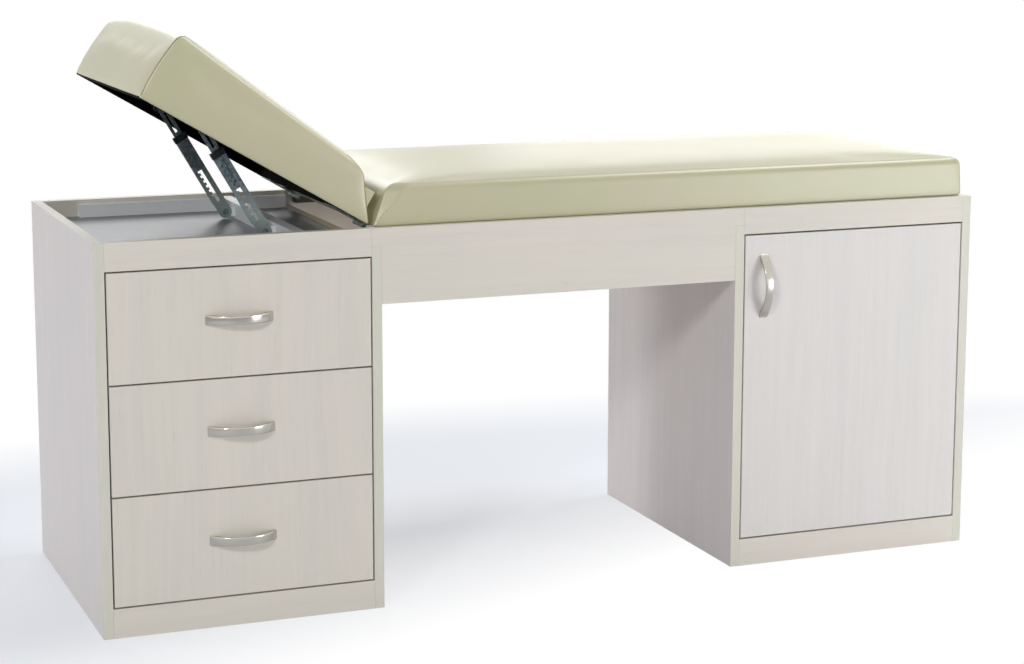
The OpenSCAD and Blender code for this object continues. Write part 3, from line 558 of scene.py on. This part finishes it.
# The share of a face's normal along an axis that makes the face square to it
SQUARE_ON = 0.8


def panel(node, body, slot, faces, bands="", ease=BOARD_EASE):
    """A board in place of its CAD node: eased edges, and a band on the sides that
    bands names, such as "y" for the faces square to Y."""
    piece = copy_of(node)
    ease_edges(piece, ease)
    finish_piece(piece, node + "_board", body, slot, faces, EDGE_BAND)
    axes = ["xyz".index(letter) for letter in bands]
    for face in piece.data.polygons:
        face.material_index = int(any(abs(face.normal[axis]) > SQUARE_ON for axis in axes))
    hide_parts(node)


# Case, drawer and door boards

# The laminate's ground, warm and cool tones. The left end's are darker, as painted shade, and the
# door's and right end's are lighter, as painted light, on one and the same laminate
FRONT_TONES = ((226, 219, 207), (227, 218, 209), (219, 214, 204))
SHADED_LEFT_TONES = ((210, 204, 202), (213, 203, 202), (204, 200, 199))
INNER_TONES = ((222, 215, 214), (225, 215, 214), (216, 212, 211))
LIT_RIGHT_TONES = ((228, 223, 218), (230, 223, 221), (222, 219, 215))


def dress_boards():
    """Every board of the case, drawers, door and pads. Each laminate's print is shifted,
    so that it doesn't run on from one panel into the next."""
    # The left end's laminate is painted darker as shade, and the right end's and the door's
    # lighter as light
    shaded_left_grain = laminate("ash upright left shaded", UPRIGHT, (0.1, 0.4, 0.2), *SHADED_LEFT_TONES)
    inner_grain = laminate("ash upright inner", UPRIGHT, (0.7, 0.15, 0.6), *INNER_TONES)
    lit_foot_grain = laminate("ash upright right lit", UPRIGHT, (1.3, 0.9, 0.1), *LIT_RIGHT_TONES)
    lying_grain = laminate("ash lying", LYING, (0.2, 0.3, 0.9), *FRONT_TONES)
    rear_grain = laminate("ash lying rear", LYING, (2.2, 1.3, 0.4), *FRONT_TONES)
    lit_door_grain = laminate("ash door lit", UPRIGHT, (3.1, 0.2, 1.4), *LIT_RIGHT_TONES)
    panel("left_end_panel", "case", "laminate", shaded_left_grain, "yz")
    panel("right_end_panel", "case", "laminate", lit_foot_grain, "yz")
    panel("drawer_inner_side", "case", "laminate", inner_grain, "yz")
    panel("cupboard_inner_side", "case", "laminate", inner_grain, "yz")
    for node in ("plinths", "drawer_top_rail", "cupboard_top_rail", "front_apron"):
        panel(node, "case", "laminate", lying_grain, "xz")
    for node in ("rear_apron", "rear_top_rails"):
        panel(node, "case", "laminate", rear_grain, "xz")
    for node in ("drawer_case_bottom", "cupboard_case_bottom", "cupboard_shelf"):
        panel(node, "case", "laminate", rear_grain, "y")
    # The tray floor is white board, darkened here as painted shade
    panel("drawer_case_top", "case", "white_board", TRAY_SHADE_BOARD)
    for node in ("cupboard_case_top", "drawer_case_back", "cupboard_back"):
        panel(node, "case", "white_board", MELAMINE)
    for number, row in enumerate(("top", "middle", "bottom")):
        shift = (0.4 + 1.7 * number, 0.6, 0.35 * number)
        grain = laminate("ash drawer " + row, UPRIGHT, shift, *FRONT_TONES)
        drawer = "drawer_" + row
        panel(drawer + "_front", drawer, "laminate", grain, "xz")
        panel(drawer + "_box", drawer, "white_board", MELAMINE, ease=SIDE_EASE)
        panel(drawer + "_bottom", drawer, "white_board", MELAMINE, ease=THIN_EASE)
    panel("door_panel", "door", "laminate", lit_door_grain, "xz")
    panel("main_pad_board", "case", "plywood", PLYWOOD)
    # The bearers take the darkened plywood, painted shade under the pads
    panel("pad_bearers", "case", "plywood", UNDER_PAD_SHADE_PLYWOOD)
    panel("head_pad_board", "head_section", "black_lining", LINING)
    panel("head_pad_frame", "head_section", "black_lining", LINING, ease=LINED_EASE)


def dress_fittings():
    """The metal of the CAD nodes that stay as they are."""
    finishes = {
        PAINTED: ["support_rails", "strut_crossbar", "strut_foot_brackets"],
        BRIGHT: ["shelf_pins", "case_runners", "door_hinge_arms", "door_hinge_plates",
            "door_hinge_cups", "drawer_top_runners", "drawer_middle_runners",
            "drawer_bottom_runners"],
        GALVANISED: ["strut_foot_pins", "head_hinge_pins", "door_hinge_pins",
            "head_hinge_fixed_leaves", "head_hinge_moving_leaves"],
        BLUED_WITH_FOOT_REFLECTION: ["strut_channels", "strut_bars", "strut_catch_pins", "strut_top_rivets"],
        DARK_STEEL: ["strut_top_brackets", "strut_collars"],
    }
    for material, names in finishes.items():
        for name in names:
            node = NODES[name]
            node.data.materials.clear()
            node.data.materials.append(material)


# Handles

# The bow's outer arc: half its length, how far it stands out, and its radius
HANDLE_HALF = 0.0635
HANDLE_REACH = 0.028
OUTER_ARC = 0.0860
# The space under the bow, likewise
INNER_HALF = 0.0495
INNER_REACH = 0.024
INNER_ARC = 0.0630
# Half its height at the middle and at the ends, and the round of its end corners
WAIST_HALF = 0.00775
END_HALF = 0.00925
END_ROUND = 0.003
# How thin it may be at its ends
THINNEST = 0.0001
# Rings either way from its middle, how far out the last one is, and a ring's points
HANDLE_STEPS = 24
LAST_RING = 0.998
RING_POINTS = 20
# The power that squares a ring: at 1 it is an ellipse
SQUARE = 0.34
# Where the screws are from its middle, and a screw from the front inwards: place, radius
SCREW_PLACE = 0.0537
SCREW = ((0, 0.002), (0.019, 0.002), (0.0191, 0.004), (0.0202, 0.004), (0.021, 0.0033),
    (0.0214, 0.0018), (0.0213, 0.0014), (0.0205, 0.0009))
SCREW_POINTS = 16


def handle_section(x):
    """The bow's back, front and half height at a place x along it."""
    front = OUTER_ARC - HANDLE_REACH - math.sqrt(OUTER_ARC ** 2 - x * x)
    back = 0.0
    if abs(x) < INNER_HALF:
        back = min(0.0, INNER_ARC - INNER_REACH - math.sqrt(INNER_ARC ** 2 - x * x))
    flare = END_HALF - WAIST_HALF
    bend = (HANDLE_HALF ** 2 + flare ** 2) / (2 * flare)
    half = WAIST_HALF + bend - math.sqrt(bend ** 2 - x * x)
    past = max(0.0, abs(x) - HANDLE_HALF + END_ROUND)
    half += math.sqrt(END_ROUND ** 2 - past * past) - END_ROUND
    return back, min(front, -THINNEST), half


def squared(share):
    """A cosine or sine pushed outwards, so that a round ring becomes nearly square."""
    return math.copysign(abs(share) ** SQUARE, share)


def handle_ring(x):
    """A cross-section of the bow: a rectangle with well-rounded corners."""
    back, front, half = handle_section(x)
    middle = (back + front) / 2
    deep = (back - front) / 2
    return [Vector((x, middle + deep * squared(sine), half * squared(cosine)))
        for cosine, sine in round_ring(RING_POINTS)]


def handle_screw(node, x):
    """A screw behind the handle, at a place along it."""
    circle = round_ring(SCREW_POINTS)
    return loft(node + "_screw", [[Vector((x + radius * cosine, y, radius * sine))
        for cosine, sine in circle] for y, radius in SCREW])


def add_handle(node, body, upright):
    """A bow handle with rounded edges, and its two screws inside the drawer or door."""
    low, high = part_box(node)
    centre = (low + high) / 2
    place = Matrix.Translation((centre.x, FRONT, centre.z))
    if upright:
        place = place @ Matrix.Rotation(math.pi / 2, 4, "Y")
    stations = [HANDLE_HALF * math.sin(math.pi / 2 * k / HANDLE_STEPS) * LAST_RING
        for k in range(-HANDLE_STEPS, HANDLE_STEPS + 1)]
    piece = loft(node + "_bow", [handle_ring(x) for x in stations])
    screws = [handle_screw(node, x) for x in (-SCREW_PLACE, SCREW_PLACE)]
    only(piece)
    for screw in screws:
        screw.select_set(True)
    bpy.ops.object.join()
    piece.data.transform(place)
    bpy.ops.object.shade_smooth_by_angle(angle=math.radians(50))
    finish_piece(piece, node + "_bow", body, "satin_nickel", NICKEL)
    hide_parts(node)


# Pads

class Pad(NamedTuple):
    """A pad in its own frame: X along it, Y across it from its middle, Z up from its
    underside. A table's rows are a share of the wall's height and a value there."""

    low: tuple          # table of where it ends at low X
    high: tuple         # the same at high X
    fold_along: tuple   # table of how much of its long side a low corner takes
    fold_back: tuple    # the same of its short side
    folded: bool        # whether its low corners are folded flat or round
    lean: tuple         # how far the round edge leans in at low X and high X, for its rise
    ease: tuple         # how far it is drawn in there
    walls: tuple        # the walls' height at two places along X
    crown: tuple        # height, and the powers of its fall along and across
    arch: tuple         # share of the crown at low X, and how much more towards high Y
    board: tuple        # start, end and depth of the pocket for its board
    cells: tuple        # faces along and across
    levels: int         # rings up the walls
    place: Matrix       # where its frame is


# Half the pads' width: a table up the wall, its top, and the share at which it is widest
SIDE = ((0, 0.289), (0.14, 0.291), (1, 0.291))
SIDE_TOP = 0.291
KNEE = 0.14
# Radius of the round top edge and of a plain corner, and the fabric beside a corner
EDGE = 0.015
CORNER = 0.005
CREASE = 0.003
# Half the width of the boards' pockets, and the radius of their corners
BOARD_SIDE = 0.2853
TIGHT = 0.001
# The round edge turns this far, in so many rings, then the crown goes on at that slope
EDGE_TURN = math.radians(81)
EDGE_RINGS = 4
TOP_HALF = SIDE_TOP - EDGE * (1 - math.cos(EDGE_TURN))

MAIN_PAD = Pad(low=((0, -0.3765), (1, -0.3528)), high=((0, 0.884), (0.14, 0.886), (1, 0.884)),
    fold_along=((0, 0.003), (0.24, 0.006), (0.385, 0.011), (0.53, 0.016), (0.675, 0.0225),
        (0.85, 0.029), (1, 0.031)),
    fold_back=((0, 0.002), (0.5, 0.006), (1, 0.011)), folded=True,
    lean=(0.38, 0), ease=(0.02, EDGE), walls=((-0.373, 0.063), (0.886, 0.063)),
    crown=(0.009, 8, 4), arch=(0, 0), board=(-0.3647, 0.8803, 0.012), cells=(104, 48), levels=8,
    place=Matrix.Translation((0, 0.014, 0.7263)))
HEAD_PAD = Pad(low=((0, -0.4975), (0.07, -0.4995), (0.3, -0.501), (0.58, -0.4997),
        (0.76, -0.4972), (0.87, -0.4955), (1, -0.4925)),
    high=((0, -0.0066), (1, -0.06)),
    fold_along=((0, CORNER), (1, CORNER)), fold_back=((0, CORNER), (1, CORNER)), folded=False,
    lean=(0.25, 0.7), ease=(EDGE, 0.045), walls=((-0.4925, 0.123), (-0.06, 0.0755)),
    crown=(0.0105, 14, 2.4), arch=(0.95, 0.45), board=(-0.4953, -0.0265, 0.0585), cells=(44, 48),
    levels=12,
    place=Matrix.Translation(HINGE) @ Matrix.Rotation(HEAD_TILT, 4, "Y")
        @ Matrix.Translation((0, 0, 0.004)))


def between(a, b, t):
    return a + (b - a) * t


def read(table, share):
    """A table's value at a share of the wall's height."""
    shares, values = zip(*table)
    return float(np.interp(share, shares, values))


def round_corner(radius):
    """Half of a round corner, from its middle out: how far along, and how far back."""
    half = [(radius * (1 - math.sin(a)), radius * (1 - math.cos(a)))
        for a in (math.pi / 4, math.pi / 8, 0)]
    return half + [(radius + CREASE, 0.0)]


def folded_corner(along, back):
    """Half of a corner folded flat."""
    half = [(along * (2 + k) / 4, back * (2 - k) / 4) for k in range(3)]
    return half + [(along + CREASE, 0.0)]


def side_line(start, end, low_corner, high_corner, cells):
    """Places along a side and how far each stands back from it. The side takes in half
    of the corner at each of its ends."""
    low = start + low_corner[-1][0]
    high = end - high_corner[-1][0]
    steps = cells - len(low_corner) - len(high_corner) + 2
    line = [(start + along, back) for along, back in low_corner]
    line += [(between(low, high, k / steps), 0.0) for k in range(1, steps)]
    line += [(end - along, back) for along, back in high_corner[::-1]]
    return line


def rounded_ring(x, side, low_corners, high_corner, cells):
    """Four sides of a rectangle with eased corners, each a list of places. low_corners
    has the corner at low X as its long side and as its short side meet it."""
    along, across = low_corners
    front = [(a, -side + back) for a, back in side_line(*x, along, high_corner, cells[0])]
    rear = [(a, -b) for a, b in front]
    low = [(x[0] + back, a) for a, back in side_line(-side, side, across, across, cells[1])]
    high = [(x[1] - back, a)
        for a, back in side_line(-side, side, high_corner, high_corner, cells[1])]
    return front, high, rear, low


def pad_sides(pad, share, angle=0.0):
    """The pad's four sides at a share of its wall, and at an angle of its top edge."""
    drawn = 1 - math.cos(angle)
    risen = EDGE * math.sin(angle)
    x = (read(pad.low, share) + pad.lean[0] * risen + pad.ease[0] * drawn,
        read(pad.high, share) - pad.lean[1] * risen - pad.ease[1] * drawn)
    along, back = read(pad.fold_along, share), read(pad.fold_back, share)
    if pad.folded:
        corners = folded_corner(along, back), folded_corner(back, along)
    else:
        corners = round_corner(along), round_corner(back)
    side = read(SIDE, share) - EDGE * drawn
    return rounded_ring(x, side, corners, round_corner(CORNER), pad.cells)


def wall_top(pad, x):
    """The straight height of the walls at a place along the pad."""
    (x0, h0), (x1, h1) = pad.walls
    return between(h0, h1, (x - x0) / (x1 - x0))


def crown_rise(pad, x, y):
    """How far the crown stands over the straight top of the walls."""
    low, high = pad.low[-1][1] + pad.ease[0], pad.high[-1][1] - pad.ease[1]
    p = min(1, max(-1, (2 * x - low - high) / (high - low)))
    q = min(1, abs(y) / TOP_HALF)
    height, along, across = pad.crown
    fall = 1 - abs(p) ** along
    if p < 0:
        arch, skew = pad.arch
        fall = between(arch * (1 + skew * y / SIDE_TOP), 1, fall)
    return height * fall * (1 - q ** across)


def wall_place(pad, x, y, share):
    """The height of the wall's fabric at a share of the wall."""
    return share * (wall_top(pad, x) + crown_rise(pad, x, y))


def ring_of(sides):
    """The four sides as one ring."""
    front, high, rear, low = sides
    return front[:-1] + high[:-1] + rear[:0:-1] + low[:0:-1]


def edge_ring(pad, angle):
    """A ring of the round top edge, at an angle of its turn."""
    ring = ring_of(pad_sides(pad, 1.0, angle))
    return [(x, y, wall_place(pad, x, y, 1) + EDGE * math.sin(angle)) for x, y in ring]


def inner_points(sides, cells):
    """Places within four sides, blended from them, row by row. The sides aren't in it."""
    front, high, rear, low = sides
    nx, ny = cells
    rows = []
    for j in range(1, ny):
        v = j / ny
        row = []
        for i in range(1, nx):
            u = i / nx
            row.append(tuple((1 - v) * front[i][k] + v * rear[i][k]
                + (1 - u) * low[j][k] + u * high[j][k]
                - (1 - u) * (1 - v) * front[0][k] - u * (1 - v) * front[nx][k]
                - (1 - u) * v * rear[0][k] - u * v * rear[nx][k] for k in (0, 1)))
        rows.append(row)
    return rows


def fill_ring(mesh, ring, rows, cells, height):
    """Fills a ring of vertices with a grid whose inner places are rows."""
    nx, ny = cells
    grid = {}
    for i in range(nx):
        grid[i, 0] = ring[i]
        grid[nx - i, ny] = ring[nx + ny + i]
    for j in range(ny):
        grid[nx, j] = ring[nx + j]
        grid[0, ny - j] = ring[(2 * nx + ny + j) % len(ring)]
    for j, row in enumerate(rows, 1):
        for i, (x, y) in enumerate(row, 1):
            grid[i, j] = mesh.verts.new((x, y, height(x, y)))
    for i in range(nx):
        for j in range(ny):
            mesh.faces.new((grid[i, j], grid[i + 1, j], grid[i + 1, j + 1], grid[i, j + 1]))


# The pocket's three rings and the lowest of the walls stay where they are
HELD_RINGS = 4


def pad_mesh(pad, name):
    """The closed skin of a pad: a pocket for its board, walls, a round edge and a
    crowned top. Returns the piece and the vertices that stay where they are."""
    mesh = bmesh.new()
    x0, x1, deep = pad.board
    tight = round_corner(TIGHT)
    pocket = rounded_ring((x0, x1), BOARD_SIDE, (tight, tight), tight, pad.cells)
    foot = [(x, y, 0.0) for x, y in ring_of(pocket)]
    rings = [[(x, y, deep) for x, y, _ in foot], [(x, y, deep / 2) for x, y, _ in foot], foot]
    shares = [0, KNEE / 2] + [KNEE + (1 - KNEE) * k / (pad.levels - 1) for k in range(pad.levels)]
    for share in shares:
        ring = ring_of(pad_sides(pad, share))
        rings.append([(x, y, wall_place(pad, x, y, share)) for x, y in ring])
    for k in range(1, EDGE_RINGS + 1):
        rings.append(edge_ring(pad, EDGE_TURN * k / EDGE_RINGS))
    held = HELD_RINGS * len(foot)
    rows = [[mesh.verts.new(p) for p in ring] for ring in rings]
    for low, high in zip(rows, rows[1:]):
        bridge(mesh, low, high)
    top = pad_sides(pad, 1.0, EDGE_TURN)

    def crowned(x, y):
        return wall_place(pad, x, y, 1) + EDGE * math.sin(EDGE_TURN)

    fill_ring(mesh, rows[-1], inner_points(top, pad.cells), pad.cells, crowned)
    first_inner = len(mesh.verts)
    fill_ring(mesh, rows[0], inner_points(pocket, pad.cells), pad.cells, lambda x, y: deep)
    piece = new_piece(mesh, name)
    still = list(range(held)) + list(range(first_inner, len(piece.data.vertices)))
    return piece, still


# Frames of stuffing, and the limit that a point's move nears but never reaches
FRAMES = 20
PUFF = 0.003


def inflate(piece, still):
    """Fills the skin with foam: a cloth under pressure, held at its underside."""
    start = np.array([v.co for v in piece.data.vertices])
    pins = piece.vertex_groups.new(name="held")
    pins.add(still, 1.0, "REPLACE")
    cloth = piece.modifiers.new("stuffing", "CLOTH")
    setting = cloth.settings
    setting.quality = 5
    setting.mass = 0.3
    setting.tension_stiffness = 60
    setting.compression_stiffness = 60
    setting.shear_stiffness = 20
    setting.bending_stiffness = 3
    setting.air_damping = 4
    setting.use_pressure = True
    setting.uniform_pressure_force = 4
    setting.effector_weights.gravity = 0
    setting.vertex_group_mass = "held"
    cloth.point_cache.frame_start = 1
    cloth.point_cache.frame_end = FRAMES
    for number in range(1, FRAMES + 1):
        SCENE.frame_set(number)
    only(piece)
    bpy.ops.object.modifier_apply(modifier="stuffing")
    SCENE.frame_set(1)
    end = np.array([v.co for v in piece.data.vertices])
    moved = end - start
    far = np.linalg.norm(moved, axis=1, keepdims=True)
    ended = start + moved * PUFF / (PUFF + far)
    piece.data.vertices.foreach_set("co", ended.ravel())
    piece.vertex_groups.clear()
    piece.data.update()


def add_pad(pad, node, body):
    """An upholstered pad in place of its CAD node."""
    piece, still = pad_mesh(pad, node + "_cover")
    inflate(piece, still)
    piece.data.transform(pad.place)
    only(piece)
    piece.modifiers.new("smooth", "SUBSURF").levels = 1
    bpy.ops.object.modifier_apply(modifier="smooth")
    bpy.ops.object.shade_smooth()
    finish_piece(piece, node + "_cover", body, "vinyl", VINYL)
    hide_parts(node)
    return piece


def surface_of(piece):
    """A piece's surface, to find the place on it that is nearest to a point."""
    mesh = bmesh.new()
    mesh.from_mesh(piece.data)
    tree = BVHTree.FromBMesh(mesh)
    mesh.free()
    return tree


# A seam's places up the wall and over the top edge, and the share at which it starts
WALL_STEPS = 40
TOP_STEPS = 8
SEAM_START = 0.04


def seam_path(pad, cover, index, start, stop, top=0.0):
    """Places and normals up the wall at a place of its ring, from a share of the wall to
    another, and on to an angle of the top edge."""
    places = []
    for k in range(WALL_STEPS + 1):
        share = between(start, stop, k / WALL_STEPS)
        x, y = ring_of(pad_sides(pad, share))[index]
        places.append((x, y, wall_place(pad, x, y, share)))
    if top:
        places += [edge_ring(pad, top * k / TOP_STEPS)[index] for k in range(1, TOP_STEPS + 1)]
    tree = surface_of(cover)
    path = []
    for place in places:
        spot, normal, _, _ = tree.find_nearest(pad.place @ Vector(place))
        path.append((spot, normal))
    return path


def corner_seams(pad, cover, corners, top):
    """The sewn corners, counted round from low X and low Y, up to an angle in degrees of
    the top edge."""
    nx, ny = pad.cells
    index = (0, nx, nx + ny, 2 * nx + ny)
    return [seam_path(pad, cover, index[corner], SEAM_START, 1.0, math.radians(top))
        for corner in corners]


# A bead along a seam, whose dark thread is painted shadow of the seam's groove, and a stitch:
# radius, depth below the surface, pitch of its places
BEAD = (0.0007, 0.0002, 0.003)
STITCH = (0.0006, 0.0001, 0.002)
THREAD_SIDES = 8
# How thin a thread's ends are
TAPER = 0.3
# Places that a stitch spans, and places from one stitch to the next
STITCH_SPAN = 3
STITCH_STEP = 4


def add_thread(mesh, path, radius, sink):
    """A thin thread along a path, sunk a little into the surface."""
    circle = round_ring(THREAD_SIDES)
    rings = []
    for i, (spot, normal) in enumerate(path):
        ahead = path[min(i + 1, len(path) - 1)][0] - path[max(i - 1, 0)][0]
        ahead.normalize()
        across = ahead.cross(normal).normalized()
        up = across.cross(ahead).normalized()
        centre = spot - normal * sink
        thin = TAPER if i in (0, len(path) - 1) else 1.0
        rings.append([centre + (across * cosine + up * sine) * radius * thin
            for cosine, sine in circle])
    add_skin(mesh, rings)


def resample(path, pitch):
    """The path's places at an even pitch."""
    out = [path[0]]
    gone = 0.0
    for (a, na), (b, nb) in zip(path, path[1:]):
        step = (b - a).length
        while step > 0 and gone + step >= pitch:
            t = (pitch - gone) / step
            a, na = a.lerp(b, t), na.lerp(nb, t).normalized()
            out.append((a, na))
            step = (b - a).length
            gone = 0.0
        gone += step
    return out


def add_seams(name, body, paths, stitched=()):
    """A bead along each path, dark as painted shadow of the seam, and stitches along those that
    are topstitched.
    """
    mesh = bmesh.new()
    radius, sink, pitch = BEAD
    for path in paths:
        add_thread(mesh, resample(path, pitch), radius, sink)
    radius, sink, pitch = STITCH
    for path in stitched:
        places = resample(path, pitch)
        for k in range(0, len(places) - STITCH_SPAN, STITCH_STEP):
            add_thread(mesh, places[k:k + STITCH_SPAN], radius, sink)
    piece = new_piece(mesh, name)
    only(piece)
    bpy.ops.object.shade_smooth()
    finish_piece(piece, name, body, "vinyl", THREAD_AND_SEAM_SHADOW)


# The topstitched fold: its place in the ring, and the shares at which it starts and ends
FOLD = (2, KNEE, 0.52)


def add_pads():
    """Both pads. The main pad is sewn at its foot end, with a topstitched fold beside its
    low front corner, and the head pad at all its corners."""
    main = add_pad(MAIN_PAD, "main_pad", "case")
    head = add_pad(HEAD_PAD, "head_pad", "head_section")
    fold = seam_path(MAIN_PAD, main, *FOLD)
    add_seams("main_pad_seams", "case", corner_seams(MAIN_PAD, main, (1, 2), 70), [fold])
    add_seams("head_pad_seams", "head_section", corner_seams(HEAD_PAD, head, range(4), 80))


# Stage and light

FLOOR_SIZE = 14
# The floor's own tones, and the glow it fades to near the part and away from it: bluish near it,
# painted light that pales its shadows, and white further off
FLOOR_COOL = (0.88, 0.92, 0.98, 1)
FLOOR_PALE = (0.90, 0.94, 1.0, 1)
SHADOW_PALING_GLOW = (0.92, 0.94, 1.0, 1)
WHITE = (1, 1, 1, 1)


def studio_floor():
    """Pale floor that keeps the part's shadow near it and fades to white away from it, sooner in
    front and to the right than behind. Near the part, a bluish glow that only the camera sees
    still pales and blues that shadow: painted light."""
    material, s, skin, place = new_material("studio floor")
    cloud = s.noise(place, 3.0, 2.0)
    s.feed(skin.inputs["Base Color"], s.mix(s.ramp(cloud, 0.3, 0.7), FLOOR_COOL, FLOOR_PALE))
    skin.inputs["Roughness"].default_value = 0.7
    away = s.node("ShaderNodeVectorMath", {0: s.stretch(place, (0.45, 0.8, 0))},
        operation="LENGTH").outputs["Value"]
    nearer = s.node("ShaderNodeVectorMath", {0: place, 1: (0.45, -1, 0)},
        operation="DOT_PRODUCT").outputs["Value"]
    # Even near the part, at least 0.36 of the floor is camera-only glow: painted light that pales
    # and blues its shadows
    fading = s.math("MAXIMUM", s.ramp(away, 0.6, 1.1), s.ramp(nearer, -0.25, 0.3, 0.36, 1.0))
    blank = s.node("ShaderNodeEmission", {"Color": s.mix(fading, SHADOW_PALING_GLOW, WHITE)}).outputs[0]
    seen = s.node("ShaderNodeLightPath").outputs["Is Camera Ray"]
    share = s.math("MULTIPLY", fading, seen)
    fade = s.node("ShaderNodeMixShader", {0: share, 1: skin.outputs[0], 2: blank})
    sheet = s.tree.get_output_node("ALL")
    s.feed(sheet.inputs["Surface"], fade.outputs[0])
    return material


def add_stage():
    """The studio floor, which isn't part of the object."""
    bpy.ops.mesh.primitive_plane_add(size=FLOOR_SIZE)
    floor = bpy.context.active_object
    floor.name = "floor"
    floor.data.materials.append(studio_floor())


# How bright the world is as light, next to 1 as the camera and reflections see it
SKY_LIGHT = 0.22


def add_world():
    """White to the camera and in reflections, softer as light."""
    world = bpy.data.worlds.new("studio")
    SCENE.world = world
    world.use_nodes = True
    s = Shader(world.node_tree)
    s.tree.nodes.clear()
    rays = s.node("ShaderNodeLightPath").outputs
    seen = s.math("ADD", rays["Is Camera Ray"], rays["Is Glossy Ray"])
    seen = s.math("ADD", seen, rays["Is Transmission Ray"], clamp=True)
    strength = s.ramp(seen, 0.0, 1.0, SKY_LIGHT, 1.0)
    sky = s.node("ShaderNodeBackground", {"Color": WHITE, "Strength": strength})
    s.feed(s.node("ShaderNodeOutputWorld").inputs["Surface"], sky.outputs[0])


# Soft boxes: place, the place they point at, size in metres and power in watts
MIDDLE = (0, 0, 0.5)
FOOT_END = (0.6, 0, 0.65)
LAMPS = {
    "front left": ((-2.65, -3.1, 2.4), MIDDLE, 0.6, 48),
    "low right": ((2.8, -3.2, 0.45), FOOT_END, 1.5, 61),
    "back": ((0, 4.5, 3.0), MIDDLE, 2.5, 54),
    "back right": ((3.2, 5.0, 1.6), (0.3, 0, 0.8), 2.5, 30),
    "back left": ((-3.9, 1.4, 0.45), (-0.5, 0, 0.3), 0.8, 38),
    "top right": ((2.2, 0.3, 3.8), FOOT_END, 1.6, 62),
}


def add_lights():
    """Soft boxes all round: the one at the front left throws the apron's shadow on the
    knee space, and the one at the back left lights the strip behind that shadow."""
    for name, (place, target, size, power) in LAMPS.items():
        data = bpy.data.lights.new(name, "AREA")
        data.size = size
        data.energy = power
        light = bpy.data.objects.new(name, data)
        SCENE.collection.objects.link(light)
        light.location = place
        aim = Vector(target) - Vector(place)
        light.rotation_euler = aim.to_track_quat("-Z", "Y").to_euler()


add_camera()
dress_boards()
dress_fittings()
for row in ("top", "middle", "bottom"):
    add_handle(f"drawer_{row}_handle", f"drawer_{row}", upright=False)
add_handle("door_handle", "door", upright=True)
add_pads()
add_stage()
add_world()
add_lights()
SCENE.view_settings.view_transform = "Standard"
